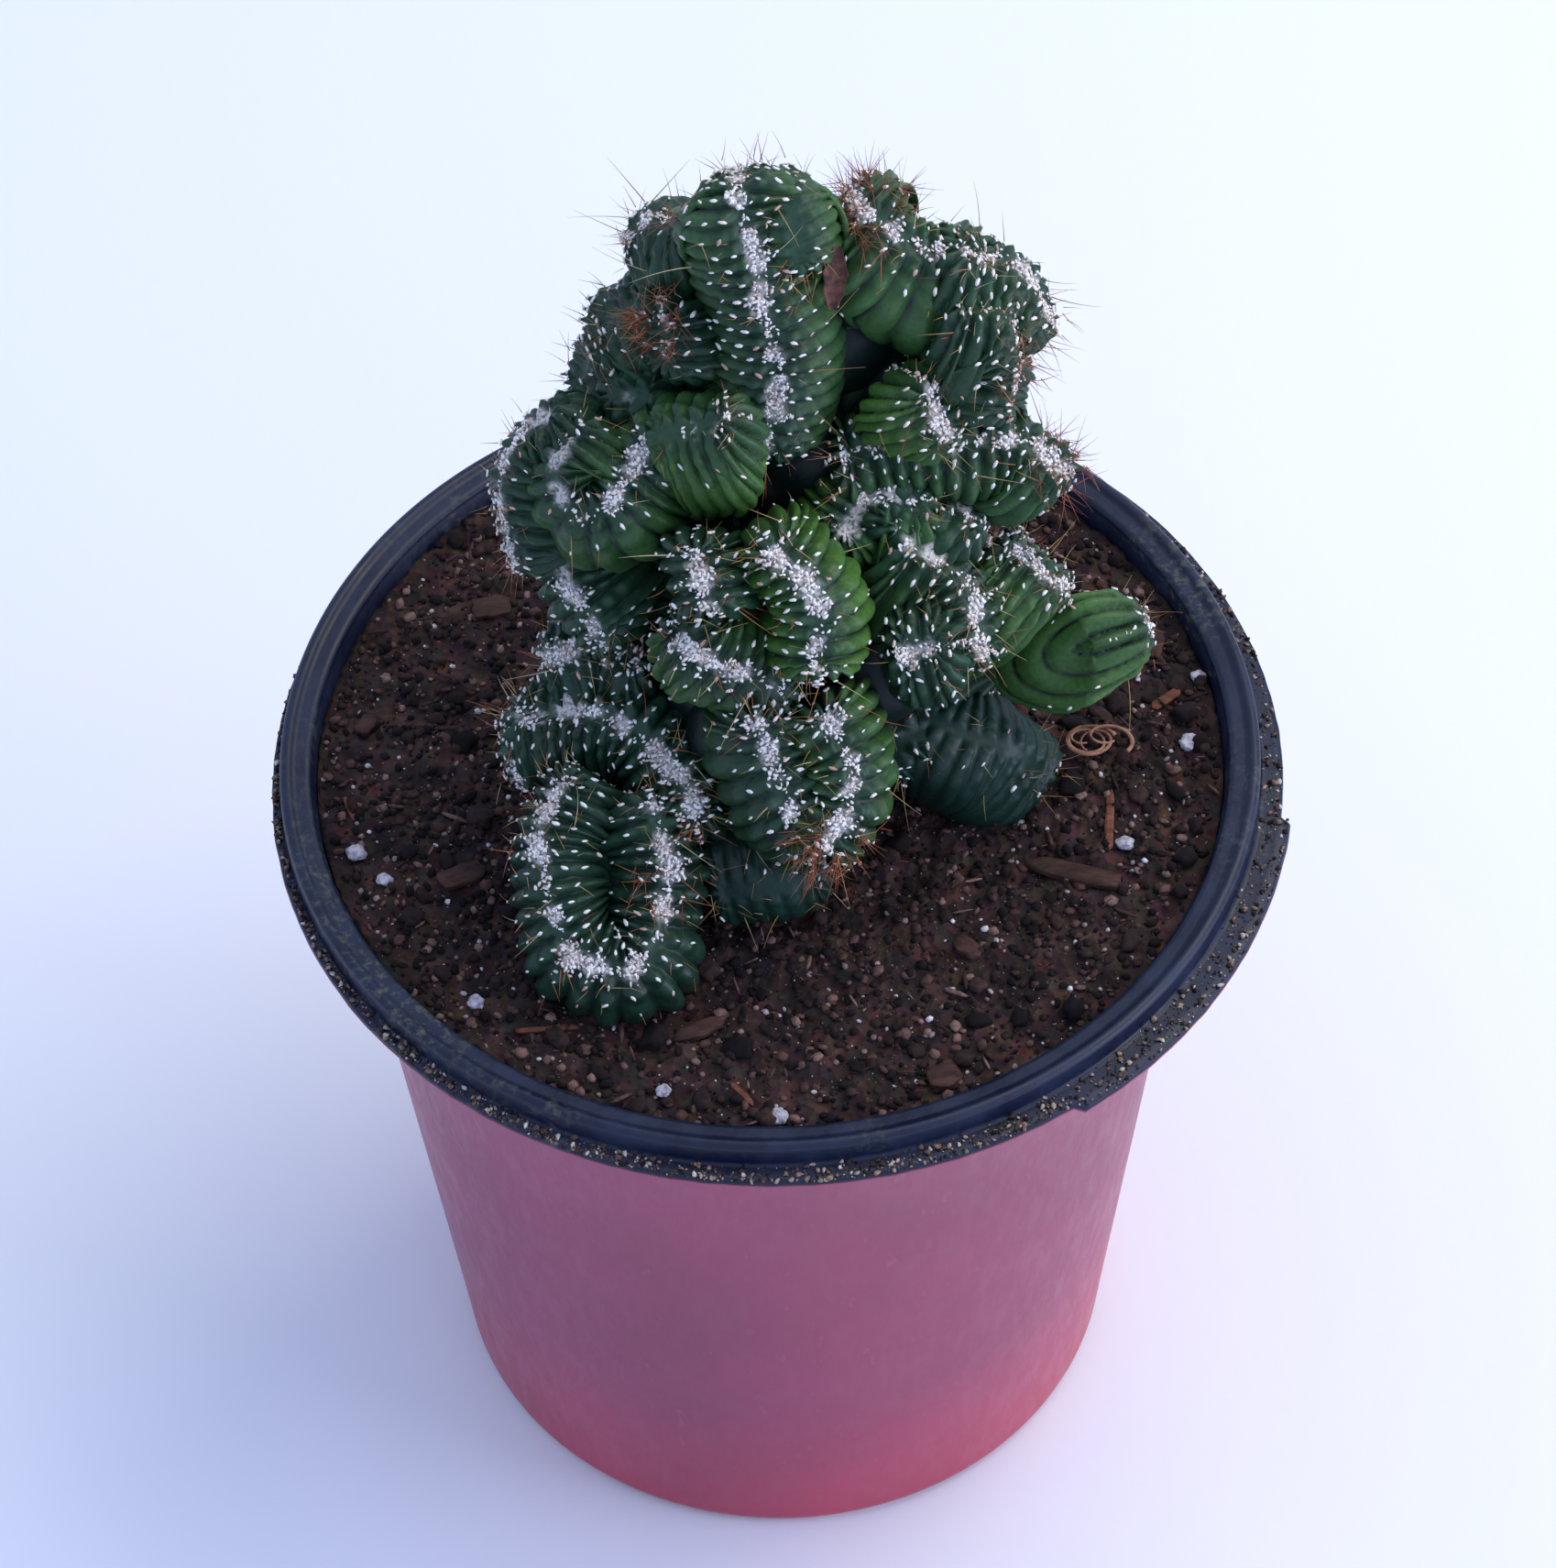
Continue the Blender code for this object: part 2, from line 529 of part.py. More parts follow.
def make_loose_pieces():
    bark = material("pine_bark", (0.10, 0.045, 0.025), 0.85)
    wood = material("wood_splinter", (0.26, 0.09, 0.035), 0.8)
    perlite = material("perlite", (0.62, 0.60, 0.66), 0.9)
    for seed, (name, (x, y, length, width, thick, turn)) in enumerate(BARK_CHIPS.items()):
        rough_block(name, bark, x, y, (length, width, thick), turn, seed)
    for seed, (name, (x, y, length, width, thick, turn)) in enumerate(WOOD_SPLINTERS.items()):
        rough_block(name, wood, x, y, (length, width, thick), turn, 100 + seed)
    for seed, (name, (x, y, size)) in enumerate(PERLITE_GRAINS.items()):
        sink = GRAIN_SINK * size
        rough_block(name, perlite, x, y, (size, size * 0.9, size * 0.8), 30 * seed, 200 + seed, sink)
    make_fibre(wood)


clear_scene()
make_pot()
make_soil()
make_cactus()
make_loose_pieces()
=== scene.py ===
"""Looks for a crested column cactus in a two-layer nursery pot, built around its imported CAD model."""

import math
import random

import bmesh
import bpy
import numpy as np
from bpy.props import FloatProperty, FloatVectorProperty, IntProperty
from mathutils import Matrix, Vector, noise
from mathutils.bvhtree import BVHTree


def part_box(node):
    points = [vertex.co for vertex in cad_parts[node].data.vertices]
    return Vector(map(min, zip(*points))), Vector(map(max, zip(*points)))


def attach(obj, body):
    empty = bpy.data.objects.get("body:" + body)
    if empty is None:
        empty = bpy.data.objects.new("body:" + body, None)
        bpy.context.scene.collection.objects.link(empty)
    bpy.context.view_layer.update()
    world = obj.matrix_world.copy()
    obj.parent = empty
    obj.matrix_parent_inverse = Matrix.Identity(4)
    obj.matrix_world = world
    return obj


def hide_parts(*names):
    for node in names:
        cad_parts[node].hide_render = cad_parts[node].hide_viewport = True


bl_info = {
    "name": "Crested cactus in a nursery pot",
    "version": (1, 0, 0),
    "blender": (4, 5, 0),
    "location": "View3D > Sidebar > Cactus",
    "description": "Builds a folded, spiny crested cactus with its pot, potting mix and stage",
    "category": "Add Mesh",
}

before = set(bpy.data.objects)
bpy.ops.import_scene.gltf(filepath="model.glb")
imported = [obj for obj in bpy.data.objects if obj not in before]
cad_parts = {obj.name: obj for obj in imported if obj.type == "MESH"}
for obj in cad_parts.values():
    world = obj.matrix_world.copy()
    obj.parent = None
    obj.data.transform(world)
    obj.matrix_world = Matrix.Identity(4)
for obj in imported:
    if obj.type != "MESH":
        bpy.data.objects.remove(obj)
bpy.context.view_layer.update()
MIX_LOW, MIX_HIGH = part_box("potting_mix")
POT_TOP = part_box("pot")[1].z        # the flat flange's height above the ground
MM = 0.001
ANY_TURN = 6.3                      # a full turn in radians, and a little more

# ---- the crest's folds --------------------------------------------------------------------------
# name: (half width, depth from ridge to root, the point it grows out from, the points of its ridge),
# in millimetres, measured from the centre of the pot's flange. Groups keep each piece a fair size.
CREST_GROUPS = {
    "crest_top": {
        "tall_column": (9.0, 20, (1, 24, 58), (
            (-2, 23, 97), (-2, 19, 99.5), (-2, 15, 97), (0, 12, 89), (2, 8, 79), (2, 6, 70), (1, 5, 62))),
        "tall_column_shoulder": (7, 18, (4, 24, 70), (
            (3, 25, 94), (4, 20, 97.5), (5, 16, 95.5), (6, 13, 89))),
        "top_left_lobe": (8, 20, (-10, 29, 60), ((-17, 28, 80), (-14, 26, 85), (-11, 24, 86))),
        "back_left_upper": (8, 16, (-8, 26, 52), ((-13, 22, 74), (-17, 21, 74), (-22, 22, 68))),
        "back_left_lower": (8, 16, (-8, 22, 48), ((-22, 21, 66), (-26, 20, 58))),
        "left_knob_upper": (6.5, 13, (-4, 20, 60), ((-13, 14, 77), (-13, 11, 72))),
        "left_knob_lower": (5.5, 11, (-8, 18, 52), ((-20, 13, 64), (-16, 10, 66))),
    },
    "crest_left": {
        "brain_outer_left": (6.5, 16, (-14, 8, 34), (
            (-35, 1, 42), (-36, 2, 44), (-36, 6, 52), (-34, 9, 60), (-29, 9, 64))),
        "brain_fold": (7.5, 19, (-14, 10, 40), (
            (-26, 6, 64), (-29, 2, 61), (-27, -2, 57), (-22, -3, 58), (-18, 0, 62), (-13, 2, 67),
            (-6, 1, 71))),
        "brain_right_flank": (8, 20, (-8, 9, 44), ((-13, 2, 67), (-6, 1, 70))),
        "left_low_lobe": (8, 18, (-8, 4, 22), ((-29, 1, 44), (-27, -4, 40), (-23, -7, 36))),
        "left_low_shoulder": (7.5, 16, (-8, 0, 12), ((-30, -5, 28), (-24, -6, 31), (-19, -8, 31))),
        "left_mid_fold": (7.5, 16, (-14, -8, 6), (
            (-34, -10, 22), (-27, -12, 25), (-19, -16, 26), (-13, -21, 22), (-11, -26, 19))),
        "left_mid_outer": (7, 14, (-20, -6, 6), ((-36, -10, 18), (-35, -13, 13))),
    },
    "crest_front": {
        "front_upper_left": (6.6, 17, (-4, 4, 38), ((-9, -12, 58), (-8, -16, 54))),
        "front_mid_left": (7.4, 20, (-2, 2, 26), (
            (-12, -16, 48), (-9, -20, 46), (-3, -21, 42), (1, -21, 40))),
        "front_mid_right": (7.3, 22, (2, 4, 30), ((2, -13, 59), (6, -16, 55), (7, -19, 50), (7, -22, 46))),
        "front_low_left": (7.2, 20, (0, -2, 8), ((-1, -24, 35), (0, -27, 30), (3, -31, 25), (7, -33, 20))),
        "front_low_right": (7.2, 20, (4, -2, 10), ((8, -23, 35), (11, -27, 31), (11, -30, 25), (8, -34, 21))),
        "low_front_lobe": (7, 12, (0, -20, 2), ((-7, -31, 7), (1, -31, 9), (5, -30, 10))),
    },
    "crest_loop": {
        "loop_fold": (6.7, 17, (-21, -31, -9), (
            (-29, -22, 22), (-32, -28, 19), (-32, -35, 15), (-30, -40, 11), (-26, -43, 8), (-20, -44, 7),
            (-16, -40, 9), (-15, -35, 13), (-15, -31, 17), (-16, -27, 20))),
    },
    "crest_right": {
        "right_inner_shelf": (7, 16, (8, 8, 36), ((11, -2, 51), (15, 1, 54), (21, 1, 53))),
        "right_shoulder": (7.5, 18, (12, 6, 34), ((19, -2, 51), (25, 4, 52), (29, 2, 49))),
        "right_mid_fold": (7.5, 20, (14, 0, 24), ((21, -4, 49), (26, -6, 46), (29, -10, 42), (30, -13, 38))),
        "right_outer_lobe": (8.8, 24, (24, -2, 10), ((35, 2, 41), (38, 0, 40), (40, -1, 38))),
        "right_tip": (7.5, 24, (24, 0, 12), ((52.2, 0.6, 24.2), (52.6, -0.6, 25.8))),
        "centre_right_knob": (8, 18, (14, 0, 18), ((19.5, -16, 41.5), (22.5, -16, 42))),
        "right_low_stem": (9, 22, (20, 4, -10), ((17, -2, 15), (26, -8, 14), (34, -9, 10), (39, -8, 3))),
    },
    "crest_upper_right": {
        "upper_right_crown": (8.5, 20, (18, 26, 60), (
            (14.5, 23, 90), (17, 21, 89.5), (20, 20, 86), (24, 19.5, 82.5), (29, 20, 81))),
        "upper_right_end": (8, 20, (22, 22, 54), ((29, 21, 82), (34, 22, 79), (39, 22, 73), (40, 21, 69))),
        "upper_right_second": (7.5, 18, (20, 16, 50), (
            (29, 15, 77), (34, 15, 75), (36, 14, 67), (35, 11, 61))),
        "upper_right_inner": (7.5, 18, (16, 16, 50), ((23.4, 7.6, 67), (24.8, 6.5, 64.2), (26, 6, 62))),
        "upper_right_shelf": (6.5, 14, (20, 14, 44), (
            (12, 5, 59), (19, 6, 60), (29, 6, 60), (36, 7, 58), (41, 6, 53))),
    },
    "crest_back_upper": {
        "back_crown": (8, 16, (5, 15, 66), (
            (-7, 29, 72), (-1, 32, 74), (5, 32, 68), (11, 31, 67), (17, 30, 70), (25, 29, 66))),
        "back_upper": (8.5, 17, (6, 10, 52), (
            (-15, 27, 61), (-8, 31, 57), (0, 31, 60), (6, 30, 55), (13, 31, 57), (21, 29, 59), (28, 26, 54))),
        "back_middle": (8.5, 18, (4, 4, 40), (
            (-18, 20, 49), (-12, 25, 45), (-4, 27, 47), (4, 28, 43), (12, 26, 45), (20, 23, 44),
            (27, 19, 41))),
    },
    "crest_back_lower": {
        "back_low": (9, 20, (4, 2, 26), (
            (-18, 15, 37), (-12, 20, 32), (-4, 25, 32), (4, 26, 29), (12, 23, 31), (20, 17, 30),
            (28, 12, 27), (32, 6, 25))),
        "back_foot": (9.5, 22, (2, -2, 8), (
            (-22, 5, 23), (-18, 12, 18), (-9, 18, 18), (1, 22, 15), (11, 19, 16), (20, 15, 15),
            (28, 11, 14), (32, 5, 13))),
        "back_root": (8.5, 18, (2, -2, -8), (
            (-20, 4, 8), (-12, 12, 5), (-4, 15, 6), (4, 17, 3), (13, 13, 4), (22, 6, 4))),
        "right_low_hollow": (7.5, 16, (12, 2, -2), ((17, -11, 11), (20, -9, 14), (24, -6, 13))),
    },
}
# Rounded flesh between the folds: centre and radius.
CORES = (
    ((2, 0, 4), 15), ((-10, -8, 8), 11), ((12, 0, 12), 9), ((-3, 4, 28), 11), ((10, 6, 34), 11),
    ((-12, 10, 42), 8), ((6, 15, 48), 10), ((20, 19, 56), 8), ((-8, 20, 60), 8), ((3, 23, 74), 8),
    ((22, 23, 68), 7), ((-18, -27, 3), 9), ((2, -16, 10), 10), ((-6, 25, 74), 7), ((20, 5, 14), 8),
    ((-20, -6, 8), 8), ((2, 23, 84), 8), ((2, 6, 16), 14), ((2, 13, 30), 12), ((0, 20, 60), 9),
    ((11, 23, 64), 9), ((14, 22, 76), 7), ((-8, -6, 24), 8), ((-4, -14, 22), 8), ((14, -6, 26), 9),
)
# Folds whose ribs are worn nearly smooth, being old or shaded: share of the rib depth that is left.
WORN = {
    "low_front_lobe": 0.32, "right_low_stem": 0.42, "left_low_shoulder": 0.8, "top_left_lobe": 0.55,
    "tall_column_shoulder": 0.6, "brain_right_flank": 0.75, "right_low_hollow": 0.7,
}
# Folds without wool of their own.
BARE = ("tall_column_shoulder", "brain_right_flank", "back_left_upper", "back_left_lower", "right_low_hollow")
WHITE = ("right_tip",)      # folds whose wool is whole
PINK = ("left_knob_upper", "left_knob_lower", "upper_right_second")     # folds with old, sparse, pinkish wool
# How much wider a fold bulges on the left of its ridge's run.
SKEW = {
    "front_mid_right": -0.16, "front_mid_left": 0.14, "front_low_left": 0.14, "front_low_right": -0.14,
    "tall_column": -0.08, "loop_fold": 0.14,
}
# How much yellower green is painted on a fold's flanks: painted light on the flanks that face the light,
# together with young growth; the others show little.
LIT_AND_FRESH = {
    "brain_right_flank": 1.0, "tall_column_shoulder": 0.6, "tall_column": 0.35, "front_mid_right": 0.85,
    "front_low_right": 0.7, "front_low_left": 0.35, "front_mid_left": 0.55, "right_outer_lobe": 0.65,
    "upper_right_inner": 0.8, "right_inner_shelf": 0.8, "brain_fold": 0.5, "upper_right_crown": 0.45,
    "right_mid_fold": 0.4, "upper_right_shelf": 0.4, "right_tip": 0.85,
}
LIT_AND_FRESH_ELSEWHERE = 0.22
# Clusters of young red-brown spines: centre (mm from the flange's centre), reach, count.
RED_CLUSTERS = (
    ((17, 21, 91), 6.0, 150), ((-15, 13, 77), 5.0, 150), ((7, -34, 21), 5.0, 130), ((40, 6, 54), 5.0, 70),
    ((36, 13, 66), 5.0, 40), ((-13, 20, 92), 4.0, 18), ((12, -1, 54), 4.0, 18), ((-16, -34, 12), 4.0, 24),
    ((-12, -26, 20), 5.0, 22),
)


def in_world(points):
    """Millimetres from the flange's centre, as metres in the model's frame."""
    return np.asarray(points, float) * MM + np.array((0.0, 0.0, POT_TOP))


def from_hex(code):
    """An sRGB hex colour as linear RGB."""
    channels = [int(code[i:i + 2], 16) / 255 for i in (1, 3, 5)]
    return tuple(c / 12.92 if c <= 0.04045 else ((c + 0.055) / 1.055) ** 2.4 for c in channels)


# ---- settings -----------------------------------------------------------------------------------
class CactusSettings(bpy.types.PropertyGroup):
    """The plant's own sizes and colours."""

    rib_pitch: FloatProperty(name="Rib pitch", description="Distance between ribs along a ridge",
                             default=0.0025, unit="LENGTH")
    rib_depth: FloatProperty(name="Rib depth", description="Height of a rib above its valley",
                             default=0.0017, unit="LENGTH")
    row_pitch: FloatProperty(name="Areole spacing", description="Distance between areoles down a rib",
                             default=0.0021, unit="LENGTH")
    wool_length: FloatProperty(name="Wool tuft length", description="Length of one tuft of wool",
                               default=0.0010, unit="LENGTH")
    spine_length: FloatProperty(name="Spine length", description="Length of the longest spines",
                                default=0.0095, unit="LENGTH")
    spine_width: FloatProperty(name="Spine width", description="Width of a spine at its foot",
                               default=0.00019, unit="LENGTH")
    spine_count: IntProperty(name="Spines", description="How many long spines grow on the crest", default=400)
    # The valley colour is painted shade: the dark between the ribs stands in for the shade that falls in the
    # valleys.
    valley: FloatVectorProperty(name="Valley colour", description="Skin between the ribs", subtype="COLOR",
                                default=from_hex("#0d1f1d"))
    skin: FloatVectorProperty(name="Skin colour", description="Skin on the ribs", subtype="COLOR",
                              default=from_hex("#2a4c35"))
    # The new growth colour is mostly painted light, laid on the flanks that face the light.
    lit_and_fresh: FloatVectorProperty(name="New growth colour", description="Skin of the youngest folds",
                               subtype="COLOR", default=from_hex("#517c37"))


class PotSettings(bpy.types.PropertyGroup):
    """The pot's sizes and colours."""

    flange_radius: FloatProperty(name="Flange radius", description="Outer edge of the flat flange",
                                 default=0.070, unit="LENGTH")
    flange_width: FloatProperty(name="Flange width", description="Width of the flat flange",
                                default=0.0046, unit="LENGTH")
    base_radius: FloatProperty(name="Base radius", description="Radius of the wall at the foot",
                               default=0.049, unit="LENGTH")
    dust_grains: IntProperty(name="Dust grains", description="Sandy grains lying on the lip", default=2600)
    red: FloatVectorProperty(name="Outer layer", description="Terracotta red outer layer", subtype="COLOR",
                             default=from_hex("#982c55"))
    black: FloatVectorProperty(name="Inner layer", description="Black inner layer", subtype="COLOR",
                               default=from_hex("#0d162d"))


class MixSettings(bpy.types.PropertyGroup):
    """The potting mix."""

    dark_crumbs: IntProperty(name="Dark crumbs", description="Peat crumbs on the surface", default=6500)
    brown_crumbs: IntProperty(name="Brown crumbs", description="Bark crumbs on the surface", default=3600)
    pale_grains: IntProperty(name="Pale grains", description="Perlite and sand on the surface", default=2400)
    clods: IntProperty(name="Clods", description="Larger clods of peat on the surface", default=170)
    swell: FloatProperty(name="Unevenness", description="Height of the surface's lumps", default=0.0011,
                         unit="LENGTH")


class StageSettings(bpy.types.PropertyGroup):
    """Camera, floor and light."""

    distance: FloatProperty(name="Camera distance", description="From the lens to the aim point",
                            default=1.177, unit="LENGTH")
    elevation: FloatProperty(name="Camera elevation", description="Angle of the view below the horizontal",
                             default=math.radians(51.84), subtype="ANGLE")
    roll: FloatProperty(name="Camera roll", description="Tilt about the line of sight",
                        default=math.radians(-1.52), subtype="ANGLE")
    lens: FloatProperty(name="Focal length", description="In millimetres on a 36 mm sensor", default=189.4)
    floor: FloatVectorProperty(name="Floor colour", description="Seamless paper", subtype="COLOR",
                               default=from_hex("#eff1f6"))


# ---- small helpers ------------------------------------------------------------------------------
def add_node(tree, kind, settings=None, links=None):
    """Adds a node, sets its properties and sockets, and links sockets to other nodes' outputs."""
    node = tree.nodes.new(kind)
    for key, value in (settings or {}).items():
        if isinstance(key, str) and hasattr(node, key):
            setattr(node, key, value)
        else:
            node.inputs[key].default_value = value
    for key, source in (links or {}).items():
        tree.links.new(source, node.inputs[key])
    return node


def new_material(name, roughness, **sockets):
    """A Principled material whose constants sit on the shader's own sockets."""
    made = bpy.data.materials.new(name)
    made.use_nodes = True
    shader = made.node_tree.nodes["Principled BSDF"]
    shader.inputs["Roughness"].default_value = roughness
    for key, value in sockets.items():
        shader.inputs[key.replace("_", " ")].default_value = value
    return made, made.node_tree, shader


def ramp(tree, source, stops, smooth=False):
    """A colour ramp through (place, colour) stops."""
    node = add_node(tree, "ShaderNodeValToRGB", links={"Fac": source})
    node.color_ramp.interpolation = "EASE" if smooth else "LINEAR"
    elements = node.color_ramp.elements
    while len(elements) < len(stops):
        elements.new(0.5)
    for element, (place, colour) in zip(elements, stops):
        element.position = place
        element.color = (*colour, 1.0)
    return node.outputs["Color"]


def grain(tree, coords, size_mm, detail=3.0, rough=0.55):
    """Noise whose features are about size_mm across."""
    node = add_node(tree, "ShaderNodeTexNoise",
                    {"Scale": 1000.0 / size_mm * 0.5, "Detail": detail, "Roughness": rough},
                    {"Vector": coords})
    return node.outputs["Fac"]


def mixed(tree, kind, factor, first, second):
    """Blends two colours, each an output or a plain colour."""
    node = add_node(tree, "ShaderNodeMix", {"data_type": "RGBA", "blend_type": kind})
    for socket, value in ((node.inputs[0], factor), (node.inputs[6], first), (node.inputs[7], second)):
        if isinstance(value, bpy.types.NodeSocket):
            tree.links.new(value, socket)
        elif isinstance(value, (int, float)):
            socket.default_value = value
        else:
            socket.default_value = (*value, 1.0)
    return node.outputs[2]


def bump(tree, shader, height, depth_mm, strength=1.0):
    """Adds a bump of depth_mm to the shader."""
    node = add_node(tree, "ShaderNodeBump", {"Strength": strength, "Distance": depth_mm * MM},
                    {"Height": height})
    tree.links.new(node.outputs["Normal"], shader.inputs["Normal"])


def finished(bm, name, material, replaces=None, smooth=True, recalc=True):
    """Turns a bmesh in metres into a piece that rides with the pot."""
    if recalc:
        bmesh.ops.recalc_face_normals(bm, faces=bm.faces)
    mesh = bpy.data.meshes.new(name)
    bm.to_mesh(mesh)
    bm.free()
    mesh.materials.append(material)
    if smooth:
        mesh.shade_smooth()
    obj = bpy.data.objects.new(name, mesh)
    bpy.context.scene.collection.objects.link(obj)
    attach(obj, "root")
    if replaces:
        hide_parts(*([replaces] if isinstance(replaces, str) else replaces))
    return obj


def turned(profile, segments):
    """A bmesh made by turning a closed (radius, height) outline about Z."""
    bm = bmesh.new()
    verts = [bm.verts.new((r, 0.0, z)) for r, z in profile]
    edges = [bm.edges.new((a, b)) for a, b in zip(verts, verts[1:] + verts[:1])]
    bmesh.ops.spin(bm, geom=verts + edges, cent=(0, 0, 0), axis=(0, 0, 1), angle=2 * math.pi,
                   steps=segments, use_merge=True, use_duplicate=False)
    bmesh.ops.remove_doubles(bm, verts=bm.verts, dist=1e-6)
    return bm


def template(maker):
    """Vertices and faces of a small shape, for stamping out many times."""
    bm = bmesh.new()
    maker(bm)
    bm.verts.ensure_lookup_table()
    co = np.array([v.co[:] for v in bm.verts])
    faces = [[v.index for v in f.verts] for f in bm.faces]
    bm.free()
    return co, faces


def stamped(name, shape, places, material, tints=None, smooth=True, replaces=None):
    """One piece made of many copies of a small shape, each with its own 3 by 4 placement."""
    co, faces = shape
    places = np.asarray(places, float)
    count, size = len(places), len(co)
    points = np.einsum("nij,vj->nvi", places[:, :, :3], co) + places[:, None, :, 3]
    mesh = bpy.data.meshes.new(name)
    mesh.vertices.add(count * size)
    mesh.vertices.foreach_set("co", points.reshape(-1))
    corners = np.concatenate([np.array(f) for f in faces])
    sizes = np.array([len(f) for f in faces])
    starts = np.concatenate(([0], np.cumsum(sizes)[:-1]))
    mesh.loops.add(count * len(corners))
    mesh.polygons.add(count * len(faces))
    shift = np.arange(count)[:, None]
    mesh.loops.foreach_set("vertex_index", (corners[None] + shift * size).reshape(-1).astype(np.int32))
    starts = (starts[None] + shift * len(corners)).reshape(-1)
    mesh.polygons.foreach_set("loop_start", starts.astype(np.int32))
    mesh.update(calc_edges=True)
    if tints is not None:
        tone = mesh.attributes.new("tone", "FLOAT", "POINT")
        tone.data.foreach_set("value", np.repeat(np.asarray(tints, np.float32), size))
    mesh.materials.append(material)
    if smooth:
        mesh.shade_smooth()
    obj = bpy.data.objects.new(name, mesh)
    bpy.context.scene.collection.objects.link(obj)
    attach(obj, "root")
    if replaces:
        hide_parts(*replaces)
    return obj


# ---- materials ----------------------------------------------------------------------------------
def object_coords(tree):
    return add_node(tree, "ShaderNodeTexCoord").outputs["Object"]


def attribute(tree, name):
    return add_node(tree, "ShaderNodeAttribute", {"attribute_name": name}).outputs["Fac"]


def cactus_skin(s):
    """Living epidermis under a thin wax, with a soft shine: painted shade darkens the valleys between the
    ribs, painted light turns lit flanks a yellower green, and lower parts are darker, part age and part
    painted shade.
    """
    made, tree, shader = new_material("waxy_cactus_epidermis", 0.45, IOR=1.42, Specular_IOR_Level=0.45)
    coords = object_coords(tree)
    blotch = grain(tree, coords, 7.0, 4.0)
    fine = grain(tree, coords, 0.35, 2.0)
    # Darker, bluer green lower down and on the worn folds: part age, part painted shade.
    old = from_hex("#1b3a2f")
    # Yellower green on the flanks that face the light: painted light, together with young growth.
    young = mixed(tree, "MIX", ramp(tree, attribute(tree, "lit_and_fresh"), [(0.25, (0, 0, 0)), (0.85, (1, 1, 1))]),
                  tuple(s.skin), tuple(s.lit_and_fresh))
    age_and_shade_share = ramp(tree, attribute(tree, "age_and_shade"), [(0.0, (0, 0, 0)), (1.0, (1, 1, 1))])
    aged_and_shaded = mixed(tree, "MIX", age_and_shade_share, young, old)
    patchy = mixed(tree, "MULTIPLY", 0.75, aged_and_shaded,
                   ramp(tree, blotch, [(0.30, from_hex("#9aa8a0")), (0.72, from_hex("#ffffff"))]))
    # Painted shade: low rib values, in the valleys and on the flesh between the folds, are darkened to the
    # valley colour.
    deep = ramp(tree, attribute(tree, "rib"), [(0.05, (1, 1, 1)), (0.62, (0, 0, 0))], smooth=True)
    shaded = mixed(tree, "MIX", deep, patchy, tuple(s.valley))
    speckled = mixed(tree, "MULTIPLY", 0.35, shaded,
                     ramp(tree, fine, [(0.35, from_hex("#8a9a8a")), (0.6, from_hex("#ffffff"))]))
    down = grain(tree, coords, 0.30, 2.0)
    fluff = mixed(tree, "MULTIPLY", 0.85, attribute(tree, "felt"),
                  ramp(tree, down, [(0.35, (0, 0, 0)), (0.55, (1, 1, 1))]))
    woolly = mixed(tree, "MIX", fluff, speckled, from_hex("#e4dbd6"))
    tree.links.new(woolly, shader.inputs["Base Color"])
    tree.links.new(ramp(tree, blotch, [(0.3, (0.36,) * 3), (0.8, (0.56,) * 3)]), shader.inputs["Roughness"])
    bump(tree, shader, fine, 0.05)
    return made


def cactus_wool():
    """Areole wool: matted white plant hair, tan or pinkish where it is old."""
    made, tree, shader = new_material("areole_wool", 0.95, Sheen_Weight=0.25)
    coords = object_coords(tree)
    colour = ramp(tree, attribute(tree, "tone"), [
        (0.0, from_hex("#b98874")), (0.25, from_hex("#dbbfb1")),
        (0.55, from_hex("#f1e8df")), (1.0, from_hex("#fffcf8"))])
    hair = grain(tree, coords, 0.18, 2.0)
    # Painted shade: fine grey flecks stand in for the shade in the small gaps between the hairs.
    worn = mixed(tree, "MULTIPLY", 0.35, colour,
                 ramp(tree, hair, [(0.3, from_hex("#8f8d90")), (0.62, (1, 1, 1))]))
    tree.links.new(worn, shader.inputs["Base Color"])
    bump(tree, shader, hair, 0.12)
    return made


def spine_horn():
    """Spine: thin horn, straw yellow when young and red-brown at the centre of a cluster."""
    made, tree, shader = new_material("spine_horn", 0.38, Specular_IOR_Level=0.5)
    colour = ramp(tree, attribute(tree, "tone"), [
        (0.0, from_hex("#702a1a")), (0.3, from_hex("#a9583a")),
        (0.6, from_hex("#b08a4e")), (1.0, from_hex("#d9c79a"))])
    streak = grain(tree, object_coords(tree), 0.9, 2.0)
    tree.links.new(mixed(tree, "MULTIPLY", 0.4, colour,
                         ramp(tree, streak, [(0.3, from_hex("#8a7a66")), (0.7, (1, 1, 1))])),
                   shader.inputs["Base Color"])
    return made


